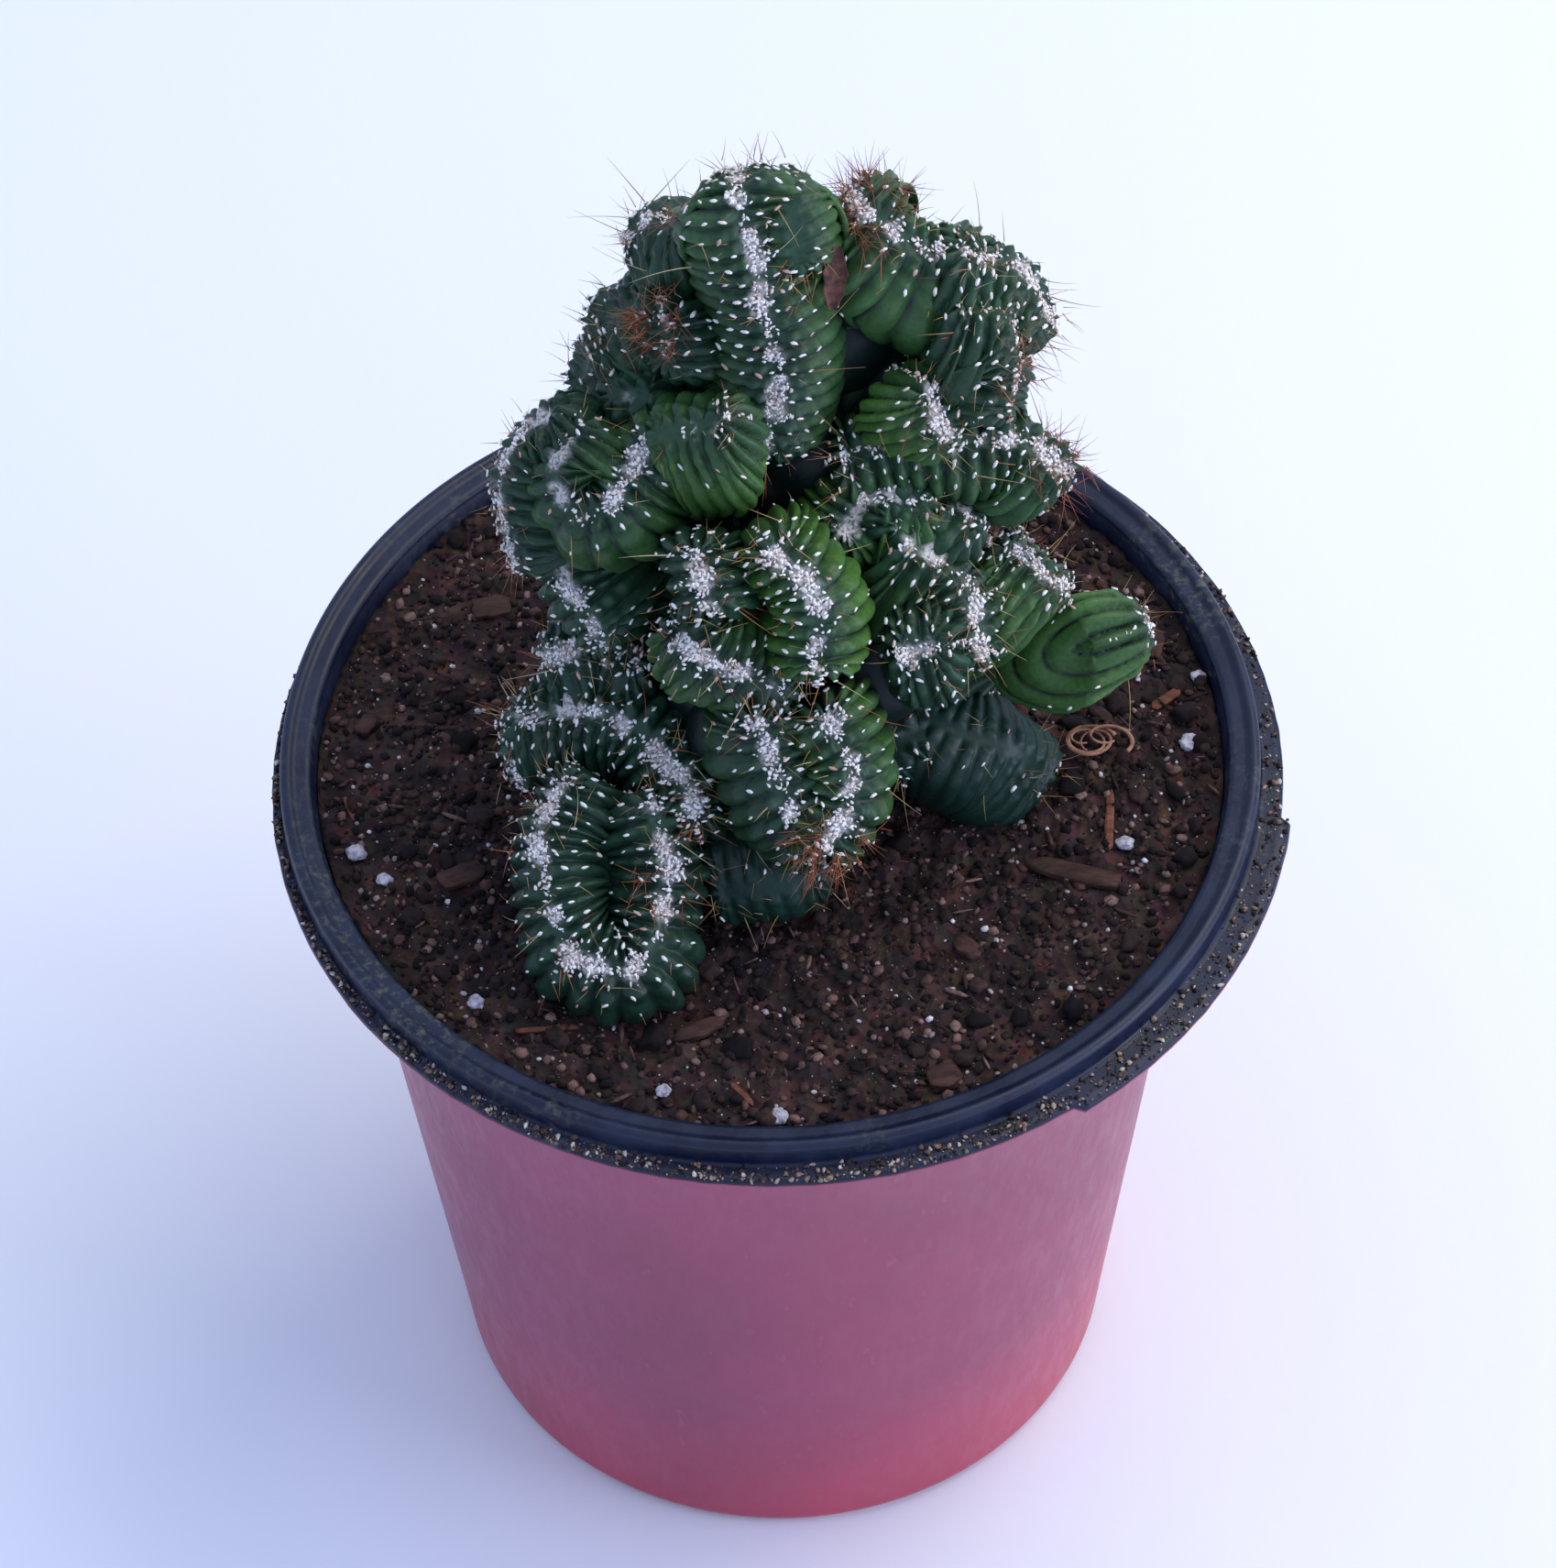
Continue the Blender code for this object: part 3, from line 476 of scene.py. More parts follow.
def red_sheet(s):
    """Outer layer of vacuum-formed polypropylene: satin, lightly scuffed, dusty, redder at the foot."""
    made, tree, shader = new_material("vacuum_formed_red_polypropylene", 0.36,
                                      IOR=1.49, Specular_IOR_Level=0.7)
    coords = object_coords(tree)
    split = add_node(tree, "ShaderNodeSeparateXYZ", links={"Vector": coords})
    level = add_node(tree, "ShaderNodeMapRange", {"From Max": 0.123}, {"Value": split.outputs["Z"]})
    height = level.outputs[0]
    broad = grain(tree, coords, 26.0, 3.0)
    scuff_map = add_node(tree, "ShaderNodeMapping", {"Scale": (1.0, 1.0, 0.35)}, {"Vector": coords})
    scuff = grain(tree, scuff_map.outputs["Vector"], 1.4, 4.0, 0.7)
    foot = mixed(tree, "MIX", ramp(tree, height, [(0.02, (1, 1, 1)), (0.30, (0, 0, 0))]),
                 tuple(s.red), from_hex("#b82e4e"))
    tone = mixed(tree, "MULTIPLY", 0.55, foot,
                 ramp(tree, broad, [(0.3, from_hex("#b9a9b4")), (0.7, (1, 1, 1))]))
    dusty = mixed(tree, "MIX", ramp(tree, scuff, [(0.60, (0, 0, 0)), (0.86, (0.30, 0.30, 0.30))]),
                  tone, from_hex("#c9a8b4"))
    smudge = grain(tree, coords, 5.5, 2.0)
    dirty = mixed(tree, "MIX", ramp(tree, smudge, [(0.735, (0, 0, 0)), (0.80, (0.55, 0.55, 0.55))]),
                  dusty, from_hex("#4b2733"))
    tree.links.new(dirty, shader.inputs["Base Color"])
    tree.links.new(ramp(tree, scuff, [(0.3, (0.30,) * 3), (0.8, (0.50,) * 3)]), shader.inputs["Roughness"])
    bump(tree, shader, broad, 0.35, 0.5)
    return made


def black_sheet(s):
    """Inner layer of the same sheet: carbon black with bluish-grey patches, part bloom and part painted
    sheen, and dried algae and silt in places.
    """
    made, tree, shader = new_material("vacuum_formed_black_polypropylene", 0.40,
                                      IOR=1.49, Specular_IOR_Level=0.38)
    coords = object_coords(tree)
    bloom_and_sheen = grain(tree, coords, 4.5, 5.0, 0.65)
    silt = grain(tree, coords, 0.8, 4.0, 0.7)
    patch = grain(tree, coords, 17.0, 2.0)
    # Bluish-grey patches: part a grey bloom, part painted sheen standing in for the bluish light the black
    # sheet reflects.
    greyed = mixed(tree, "MIX", ramp(tree, bloom_and_sheen, [(0.42, (0, 0, 0)), (0.78, (0.16, 0.16, 0.16))]),
                   tuple(s.black), from_hex("#4c5c84"))
    where = mixed(tree, "MULTIPLY", 1.0, ramp(tree, silt, [(0.50, (0, 0, 0)), (0.68, (1, 1, 1))]),
                  ramp(tree, patch, [(0.46, (0, 0, 0)), (0.62, (0.8, 0.8, 0.8))]))
    stained = mixed(tree, "MIX", where, greyed, from_hex("#5c5f4c"))
    tree.links.new(stained, shader.inputs["Base Color"])
    tree.links.new(ramp(tree, bloom_and_sheen, [(0.3, (0.30,) * 3), (0.75, (0.58,) * 3)]), shader.inputs["Roughness"])
    bump(tree, shader, silt, 0.06)
    return made


def crumbly(name, stops, grain_mm, roughness=0.93):
    """A dull crumbly solid coloured by each crumb's own tone."""
    made, tree, shader = new_material(name, roughness, Specular_IOR_Level=0.25)
    coords = object_coords(tree)
    colour = ramp(tree, attribute(tree, "tone"), stops)
    fine = grain(tree, coords, grain_mm, 3.0)
    tree.links.new(mixed(tree, "MULTIPLY", 0.7, colour,
                         ramp(tree, fine, [(0.3, from_hex("#6f6a6a")), (0.65, (1, 1, 1))])),
                   shader.inputs["Base Color"])
    bump(tree, shader, fine, 0.12)
    return made


def peat_bed():
    """Moist peat and composted bark: near black, with brown fibre and stray mineral specks."""
    made, tree, shader = new_material("moist_peat_and_bark", 0.92, Specular_IOR_Level=0.3)
    coords = object_coords(tree)
    clump = grain(tree, coords, 2.6, 5.0, 0.65)
    crumb = add_node(tree, "ShaderNodeTexVoronoi", {"Scale": 620.0}, {"Vector": coords})
    base = ramp(tree, clump, [(0.3, from_hex("#120d0e")), (0.5, from_hex("#2b1d1b")),
                               (0.72, from_hex("#4a332b"))])
    tint = mixed(tree, "MULTIPLY", 0.7, base, crumb.outputs["Color"])
    tree.links.new(mixed(tree, "ADD", 0.5, tint, base), shader.inputs["Base Color"])
    bump(tree, shader, crumb.outputs["Distance"], 0.7)
    return made


def fibrous_wood(name, dark, light, grain_mm):
    """Split wood or bark: long darker fibres along its length."""
    made, tree, shader = new_material(name, 0.82, Specular_IOR_Level=0.3)
    coords = object_coords(tree)
    along = add_node(tree, "ShaderNodeMapping", {"Scale": (0.3, 1.0, 1.0)}, {"Vector": coords})
    fibre = grain(tree, along.outputs["Vector"], grain_mm, 5.0, 0.7)
    colour = ramp(tree, fibre, [(0.32, from_hex(dark)), (0.68, from_hex(light))])
    tree.links.new(colour, shader.inputs["Base Color"])
    bump(tree, shader, fibre, 0.25)
    return made


# ---- pot ----------------------------------------------------------------------------------------
LIP_DROP = 0.0040
LIP_REACH = 0.0022
FLAP_REACH = 0.0014
FLAP_DEG = (-56.0, -9.0)
DIE_CENTRE = (0.001, -0.001)
SHOULDER_DROP = 0.015
SHOULDER_HEIGHT = 0.004
SHOULDER_STEP = 0.0032
UPPER_FLARE = 0.0022
SHEET = 0.001
LAYER = 0.0005
FOOT_HEIGHT = 0.004
FOOT_WIDTH = 0.005
PAD_R = 0.012
ARCHES = 8
ARCH_RISE = 0.0006
DRAIN_HOLES = 6
DRAIN_HOLE_R = 0.004
DRAIN_RING_R = 0.030
NOMINAL_REACH = 0.004       # lip width in the turned outline, before it is trimmed


def arc(centre, radius, start, end, steps):
    """Points on an arc of a (radius, height) outline, in degrees."""
    angles = [math.radians(start + (end - start) * i / steps) for i in range(steps + 1)]
    return [(centre[0] + radius * math.cos(a), centre[1] + radius * math.sin(a)) for a in angles]


def lip_reach(angle):
    """How far the trimmed lip stands out past the flange at this angle."""
    degrees = math.degrees(angle)
    flap = FLAP_REACH if FLAP_DEG[0] < degrees < FLAP_DEG[1] else 0.0
    off = DIE_CENTRE[0] * math.cos(angle) + DIE_CENTRE[1] * math.sin(angle)
    ragged = 0.00012 * noise.noise(Vector((math.cos(angle), math.sin(angle), 0)) * 24)
    return LIP_REACH + flap + off + ragged


def shape_rim(bm, flange_r):
    """Trims the lip, lifts the foot between its feet and lets the thin sheet go a little out of round."""
    for vert in bm.verts:
        x, y, z = vert.co
        r = math.hypot(x, y)
        if r < 1e-6:
            continue
        angle = math.atan2(y, x)
        if r > flange_r + 1e-5:
            r = flange_r + (r - flange_r) * lip_reach(angle) / NOMINAL_REACH
        upright = max(0.0, min(1.0, (z - 0.02) / 0.06)) * (1 if r > 0.04 else 0)
        top = max(0.0, (z - 0.11) / 0.017)
        r += 0.00022 * upright * math.sin(2 * angle + 0.7) * (1 - 0.7 * top)
        z += 0.00012 * top * math.sin(3 * angle + 1.1)
        if r > 0.040 and z < 0.0018:
            phase = abs(math.sin(angle * ARCHES / 2))
            lift = max(0.0, min(1.0, (phase - 0.60) / 0.10))
            z += ARCH_RISE * lift * (1 - z / 0.0018 * 0.5)
        vert.co = (r * math.cos(angle), r * math.sin(angle), z)


class CACTUS_OT_pot(bpy.types.Operator):
    """Build the two-layer thermoformed pot"""

    bl_idname = "crested_cactus.pot"
    bl_label = "Pot"

    def execute(self, context):
        s = context.scene.cactus_pot
        top, fr = POT_TOP, s.flange_radius
        inner = fr - s.flange_width
        shoulder_z = top - SHOULDER_DROP
        low_z = shoulder_z - SHOULDER_HEIGHT
        shoulder_r = inner + SHEET - UPPER_FLARE
        wall_r = shoulder_r - SHOULDER_STEP
        base_r = s.base_radius
        lip_z = top - LIP_DROP
        foot_r = base_r - FOOT_WIDTH
        flat = top - 0.0006                 # the flange's flat, just below its raised outer bead
        # the black layer: inside wall, flange, bead, and the upper face of the lip
        black = [(shoulder_r - SHEET + 0.0001, shoulder_z + 0.002)]
        black += [(inner - 0.0002, flat - 0.0012)]
        black += arc((inner + 0.0010, flat - 0.0010), 0.0010, 180, 90, 6)
        black += [(inner + 0.0022, flat), (fr - 0.0019, flat + 0.00005)]
        black += arc((fr - 0.0010, top - 0.0010), 0.0010, 130, 0, 10)
        black += [(fr, lip_z + 0.0007)]
        black += arc((fr + 0.0007, lip_z + 0.0007), 0.0007, 180, 270, 5)[1:]
        black += [(fr + NOMINAL_REACH * 0.6, lip_z), (fr + NOMINAL_REACH - 0.0002, lip_z - 0.00005)]
        black += [(fr + NOMINAL_REACH, lip_z - LAYER)]
        black += [(fr + 0.0003, lip_z - LAYER), (fr - LAYER, lip_z + 0.0002), (fr - LAYER, top - 0.0012)]
        black += [(fr - 0.0012, top - LAYER - 0.0002), (fr - 0.0020, flat - LAYER)]
        black += [(inner + 0.0012, flat - LAYER), (inner + LAYER, flat - 0.0012)]
        black += [(shoulder_r - LAYER, shoulder_z + 0.002)]
        # the red layer: from under the lip down the wall, the foot and the floor
        red = [(fr + NOMINAL_REACH, lip_z - LAYER), (fr + NOMINAL_REACH, lip_z - SHEET + 0.0001)]
        red += [(fr + NOMINAL_REACH - 0.0002, lip_z - SHEET)]
        red += [(fr - 0.0004, lip_z - SHEET), (fr - SHEET, lip_z), (fr - SHEET, top - 0.0016)]
        red += [(fr - 0.0017, top - 0.0014), (inner + SHEET + 0.0006, flat - SHEET)]
        red += [(inner + SHEET, flat - 0.0018), (shoulder_r + 0.0001, shoulder_z + 0.0006)]
        red += arc((shoulder_r - 0.0006, shoulder_z - 0.0001), 0.0007, 20, -60, 4)
        red += [(wall_r + 0.0004, low_z + 0.0004), (wall_r, low_z - 0.0006)]
        red += [(base_r + (wall_r - base_r) * t, 0.003 + (low_z - 0.003) * t) for t in (0.75, 0.5, 0.25, 0.1)]
        red += arc((base_r - 0.003, 0.003), 0.003, 0, -90, 8)
        red += [(foot_r + 0.0006, 0.0), (foot_r, 0.0003), (foot_r - 0.001, FOOT_HEIGHT - SHEET)]
        red += [(DRAIN_RING_R + DRAIN_HOLE_R + 0.003, FOOT_HEIGHT - SHEET)]
        red += [(PAD_R + 0.002, FOOT_HEIGHT - SHEET), (PAD_R, 0.0), (0.0, 0.0), (0.0, SHEET)]
        red += [(PAD_R - 0.0008, SHEET), (PAD_R + 0.0012, FOOT_HEIGHT)]
        red += [(foot_r, FOOT_HEIGHT), (foot_r + 0.001, SHEET)]
        red += arc((base_r - 0.003, 0.003), 0.002, -90, 0, 5)
        red += [(wall_r - SHEET, low_z), (shoulder_r - SHEET, shoulder_z)]
        red += [(shoulder_r - SHEET, shoulder_z + 0.002)]
        red += [(shoulder_r - LAYER, shoulder_z + 0.002), (inner + LAYER, flat - 0.0012)]
        red += [(inner + 0.0012, flat - LAYER)]
        red += [(fr - 0.0020, flat - LAYER), (fr - 0.0012, top - LAYER - 0.0002), (fr - LAYER, top - 0.0012)]
        red += [(fr - LAYER, lip_z + 0.0002), (fr + 0.0003, lip_z - LAYER)]
        lining = turned(black, 480)
        shape_rim(lining, fr)
        finished(lining, "pot_black_lining", black_sheet(s), recalc=True)
        shell = turned(red, 480)
        shape_rim(shell, fr)
        wall = finished(shell, "pot_red_wall", red_sheet(s), replaces="pot")
        self.drill(wall)
        return {"FINISHED"}

    def drill(self, wall):
        """Cuts the drainage holes through the floor."""
        bm = bmesh.new()
        for i in range(DRAIN_HOLES):
            place = Matrix.Rotation(2 * math.pi * i / DRAIN_HOLES, 4, "Z") @ Matrix.Translation(
                (DRAIN_RING_R, 0, FOOT_HEIGHT))
            bmesh.ops.create_cone(bm, cap_ends=True, segments=40, radius1=DRAIN_HOLE_R, radius2=DRAIN_HOLE_R,
                                  depth=0.004, matrix=place)
        mesh = bpy.data.meshes.new("drill")
        bm.to_mesh(mesh)
        bm.free()
        drill = bpy.data.objects.new("drill", mesh)
        bpy.context.scene.collection.objects.link(drill)
        cut = wall.modifiers.new("drain_holes", "BOOLEAN")
        cut.operation = "DIFFERENCE"
        cut.solver = "EXACT"
        cut.object = drill
        graph = bpy.context.evaluated_depsgraph_get()
        holed = bpy.data.meshes.new_from_object(wall.evaluated_get(graph))
        wall.modifiers.clear()
        old = wall.data
        wall.data = holed
        holed.name = "pot_red_wall"
        bpy.data.meshes.remove(old)
        bpy.data.objects.remove(drill)


# ---- potting mix --------------------------------------------------------------------------------
MIX_CROWN = 0.001
CRUMB_SPREAD_R = 0.0640
FIBRE_SPREAD_R = 0.0635
FIBRES = 330


def mix_height(x, y, swell):
    """Height of the mix's lumpy surface."""
    inner = 0.0654
    share = min(1.0, math.hypot(x, y) / inner)
    rim = POT_TOP - LIP_DROP
    here = Vector((x, y, 0.0))
    lumps = noise.noise(here * 130) * 0.9 + noise.noise(here * 330 + Vector((3, 1, 7))) * 0.75
    lumps += noise.noise(here * 760 + Vector((9, 4, 2))) * 0.4
    return rim + MIX_CROWN * (1 - share * share) + swell * lumps


class CACTUS_OT_mix(bpy.types.Operator):
    """Fill the pot with potting mix and strew crumbs over it"""

    bl_idname = "crested_cactus.mix"
    bl_label = "Potting mix"

    def execute(self, context):
        s = context.scene.cactus_mix
        edge = MIX_HIGH.x + 0.0004
        bottom = MIX_LOW.z
        outline = [(0.0, bottom), (0.0455, bottom), (0.0470, bottom + 0.001), (0.0572, POT_TOP - 0.0192)]
        outline += [(0.0604, POT_TOP - 0.0147), (edge - 0.0006, POT_TOP - 0.006), (edge, POT_TOP - LIP_DROP)]
        rings = 90
        outline += [(edge * (1 - (i / rings)), POT_TOP - LIP_DROP + 1e-6) for i in range(1, rings + 1)]
        bm = turned(outline, 300)
        for vert in bm.verts:
            if vert.co.z > POT_TOP - LIP_DROP - 1e-4:
                vert.co.z = mix_height(vert.co.x, vert.co.y, s.swell)
        finished(bm, "potting_mix_bed", peat_bed(), replaces="potting_mix")
        self.strew(s)
        return {"FINISHED"}

    def strew(self, s):
        rng = np.random.default_rng(41)
        dark = crumbly("peat_crumb", [
            (0.0, from_hex("#0c090b")), (0.55, from_hex("#231819")), (1.0, from_hex("#42302b"))], 0.5)
        brown = crumbly("bark_crumb", [
            (0.0, from_hex("#33221f")), (0.6, from_hex("#5f443e")), (1.0, from_hex("#94756b"))], 0.5)
        pale = crumbly("perlite_and_sand", [
            (0.0, from_hex("#7c625e")), (0.6, from_hex("#a58f8e")), (1.0, from_hex("#efedf1"))], 0.4)
        kinds = (
            ("mix_clods", dark, s.clods, 0.0022, 0.0058, 1.8, (0.4, 0.7)),
            ("mix_dark_crumbs", dark, s.dark_crumbs, 0.0006, 0.0026, 2.2, (0.55, 1.0)),
            ("mix_brown_crumbs", brown, s.brown_crumbs, 0.0004, 0.0028, 2.8, (0.35, 0.8)),
            ("mix_pale_grains", pale, s.pale_grains, 0.00025, 0.0016, 3.6, (0.7, 1.0)),
        )
        for name, material, count, small, large, power, flat in kinds:
            shape = template(lambda bm: rough_ball(bm, 11, 2 if name == "mix_clods" else 1))
            places = []
            tones = []
            for _ in range(count):
                r = CRUMB_SPREAD_R * math.sqrt(rng.random())
                a = rng.random() * 2 * math.pi
                x, y = r * math.cos(a), r * math.sin(a)
                size = small + (large - small) * rng.random() ** power
                squash = rng.uniform(*flat)
                turn = Matrix.Rotation(rng.random() * ANY_TURN, 3, "Z")
                turn = turn @ Matrix.Rotation(rng.normal() * 0.35, 3, "X")
                grow = Matrix.Diagonal((size * rng.uniform(0.6, 1.0), size * rng.uniform(0.45, 0.8),
                                        size * squash * 0.6))
                lift = mix_height(x, y, s.swell) + size * 0.12
                places.append(np.column_stack([np.array(turn @ grow), (x, y, lift)]))
                tones.append(rng.random())
            stamped(name, shape, places, material, tones, smooth=False)
        shape = template(lambda bm: rough_ball(bm, 5, 1))
        places, tones = [], []
        for _ in range(FIBRES):
            r = FIBRE_SPREAD_R * math.sqrt(rng.random())
            a = rng.random() * 2 * math.pi
            x, y = r * math.cos(a), r * math.sin(a)
            length = 0.0012 + 0.0034 * rng.random() ** 1.6
            turn = Matrix.Rotation(rng.random() * ANY_TURN, 3, "Z")
            turn = turn @ Matrix.Rotation(rng.normal() * 0.2, 3, "Y")
            grow = Matrix.Diagonal((length, length * rng.uniform(0.08, 0.22), length * 0.10))
            lift = mix_height(x, y, s.swell) + 0.0006
            places.append(np.column_stack([np.array(turn @ grow), (x, y, lift)]))
            tones.append(rng.random() ** 2.2)
        stamped("mix_fibres", shape, places, brown, tones, smooth=False)


def rough_ball(bm, seed, fineness):
    """A lumpy crumb about 1 across."""
    rng = random.Random(seed)
    bmesh.ops.create_icosphere(bm, subdivisions=fineness, radius=0.5)
    for vert in bm.verts:
        vert.co *= rng.uniform(0.7, 1.25)


class CACTUS_OT_dust(bpy.types.Operator):
    """Lay sandy dust along the pot's lip"""

    bl_idname = "crested_cactus.dust"
    bl_label = "Dust on the lip"

    def execute(self, context):
        s = context.scene.cactus_pot
        rng = np.random.default_rng(17)
        sand = crumbly("silt_and_sand", [
            (0.0, from_hex("#1c1416")), (0.4, from_hex("#4e3a36")),
            (0.8, from_hex("#a58a76")), (1.0, from_hex("#e6dcd2"))], 0.3)
        places, tones = [], []
        while len(places) < s.dust_grains:
            angle = rng.uniform(-math.pi, math.pi)
            front = 0.5 - 0.5 * math.sin(angle)
            if rng.random() > 0.25 + 0.75 * front:
                continue
            reach = lip_reach(angle)
            if reach < 0.0006:
                continue
            out = s.flange_radius + 0.0002 + (reach - 0.0004) * rng.random() ** 0.8
            size = 0.00028 + 0.0009 * rng.random() ** 4
            z = POT_TOP - LIP_DROP + size * 0.22
            turn = Matrix.Rotation(rng.random() * ANY_TURN, 3, "Z")
            turn = turn @ Matrix.Rotation(rng.random() * ANY_TURN, 3, "X")
            grow = Matrix.Diagonal((size, size * rng.uniform(0.6, 1.0), size * rng.uniform(0.5, 0.9)))
            spot = (out * math.cos(angle), out * math.sin(angle), z)
            places.append(np.column_stack([np.array(turn @ grow), spot]))
            tones.append(rng.random())
        stamped("lip_dust", template(lambda bm: rough_ball(bm, 3, 1)), places, sand,
                tones, smooth=False)
        return {"FINISHED"}


# ---- the crest ----------------------------------------------------------------------------------
CAP_LENGTH = 0.5            # length of a fold's rounded end, in half widths
CAP_PERIMETER = 1.21        # arc length round a quarter of that end, in half widths
CAP_SPAN = 1.15             # how much of the run that end takes up, in half widths
RING_STEP = 0.00034         # distance between cross sections along a fold
SIDES = 84
ROOT_FADE = 2.2             # radians from the ridge beyond which a fold is hidden in the clump


def smoothstep(low, high, value):
    t = np.clip((value - low) / (high - low), 0.0, 1.0)
    return t * t * (3 - 2 * t)


# What the skin's material reads at each vertex, and its value on the flesh between the folds: height on the
# rib (low values painted dark as shade), painted light with young growth, age with painted shade, and felted
# wool.
SKIN_MARKS = {"rib": 0.10, "lit_and_fresh": 0.1, "age_and_shade": 0.3, "felt": 0.0}


class Fold:
    """One fold of the crest: a ridge curve with a rounded section hung from it, pleated into ribs."""

    def __init__(self, name, number, spec, pitch):
        half_width, depth, root, ridge = spec
        self.name, self.number = name, number
        self.width, self.depth = half_width * MM, depth * MM
        self.root = in_world(root)
        self.points = in_world(ridge)
        dense = np.linspace(0.0, 1.0, 301)
        line = self.curve(dense)
        run = np.concatenate(([0.0], np.cumsum(np.linalg.norm(np.diff(line, axis=0), axis=1))))
        self.table, self.run = dense, run
        self.length = run[-1]
        self.end = CAP_PERIMETER * self.width
        self.ribs = max(5, round((self.length + 2 * self.end) / pitch))
        self.pitch = (self.length + 2 * self.end) / self.ribs
        self.worn = WORN.get(name, 1.0)
        self.skew = SKEW.get(name, 0.0)

    def curve(self, t):
        """Catmull-Rom curve through the ridge's points."""
        spans = len(self.points) - 1
        i = np.minimum((t * spans).astype(int), spans - 1)
        u = (t * spans - i)[:, None]
        before, after = 2 * self.points[0] - self.points[1], 2 * self.points[-1] - self.points[-2]
        padded = np.vstack([before, self.points, after])
        p0, p1, p2, p3 = padded[i], padded[i + 1], padded[i + 2], padded[i + 3]
        return 0.5 * (2 * p1 + (p2 - p0) * u + (2 * p0 - 5 * p1 + 4 * p2 - p3) * u ** 2
                      + (3 * p1 - p0 - 3 * p2 + p3) * u ** 3)

    def surface(self, share, around):
        """Points, normals and pattern values: share runs -1 to 1 end to end, around is from the ridge."""
        cap = CAP_SPAN * self.width / (self.length / 2 + CAP_SPAN * self.width)
        q = np.clip((np.abs(share) - (1 - cap)) / cap, 0.0, 1.0)
        past, closing = np.sin(q * math.pi / 2), np.cos(q * math.pi / 2)
        run = (np.clip(share / (1 - cap), -1.0, 1.0) + 1) / 2 * self.length
        t = np.interp(run, self.run, self.table)
        ridge = self.curve(t)
        step = self.curve(np.minimum(t + 0.02, 1.0)) - self.curve(np.maximum(t - 0.02, 0.0))
        tangent = step / np.linalg.norm(step, axis=1)[:, None]
        outward = ridge - self.root
        outward -= tangent * np.sum(outward * tangent, axis=1)[:, None]
        outward /= np.linalg.norm(outward, axis=1)[:, None]
        side = np.cross(tangent, outward)
        sine, cosine = np.sin(around), np.cos(around)
        way = np.sign(share)
        middle = ridge - outward * (self.depth * (0.5 - 0.15 * past))[:, None]
        inward = self.root - middle
        far = np.linalg.norm(inward, axis=1)
        drop = np.minimum(self.depth / 2, far) / far
        point = middle + tangent * (way * CAP_LENGTH * self.width * past)[:, None]
        point += side * (closing * self.width * sine * (1 + self.skew * sine))[:, None]
        point += outward * (closing * self.depth / 2 * np.maximum(cosine, 0.0))[:, None]
        point += inward * (closing * drop * np.maximum(-cosine, 0.0))[:, None]
        normal = side * (closing * sine / self.width)[:, None]
        normal += outward * (closing * cosine / (self.depth / 2))[:, None]
        normal += tangent * (way * past / (CAP_LENGTH * self.width))[:, None]
        normal /= np.linalg.norm(normal, axis=1)[:, None]
        # pattern: u runs along the ridge and fans round its ends, reach runs down from the ridge
        lateral = closing * np.where(cosine > 0, np.abs(sine), 1.0)
        turn = np.arctan2(past, np.maximum(lateral, 1e-6))
        u = self.end + run + way * self.end * turn / (math.pi / 2)
        spread = np.sqrt((lateral * self.width) ** 2 + (past * CAP_LENGTH * self.width) ** 2)
        reach = np.where(cosine > 0, spread, self.width + self.width * (np.abs(around) - math.pi / 2))
        seed = self.number * 1.7
        warp = 0.00030 * np.sin(u / 0.0051 + seed) + 0.00016 * np.sin(u / 0.0023 + 2.1 * seed)
        bend = 0.00035 * np.sin(reach / 0.0042 + seed + u / 0.009)
        return point, normal, u + warp + bend, reach

    def woolly(self, share):
        """How thickly wool lies along the ridge, from 0 to 1."""
        if self.name in BARE or self.worn < 0.5:
            return np.zeros(len(share))
        run = share * (self.length + 2 * self.end) / 2
        patch = np.sin(run / 0.0019 + 2.2 * self.number) * np.sin(run / 0.0043 + self.number)
        patch += 0.45 * np.sin(run / 0.0008 + 3 * self.number)
        cap = CAP_SPAN * self.width / (self.length / 2 + CAP_SPAN * self.width)
        ended = smoothstep(0.45, 0.15, (np.abs(share) - 1 + cap) / cap)
        thick = np.clip(0.58 + 0.55 * patch, 0.06, 1.0) * ended * (0.45 if self.name in PINK else 1.0)
        return np.maximum(thick, 0.9 * ended) if self.name in WHITE else thick

    def drift(self, share):
        """How far the wool wanders off the ridge's middle."""
        run = share * (self.length + 2 * self.end) / 2
        return 0.0006 * np.sin(run / 0.0037 + self.number) + 0.0003 * np.sin(run / 0.0013 + 2 * self.number)

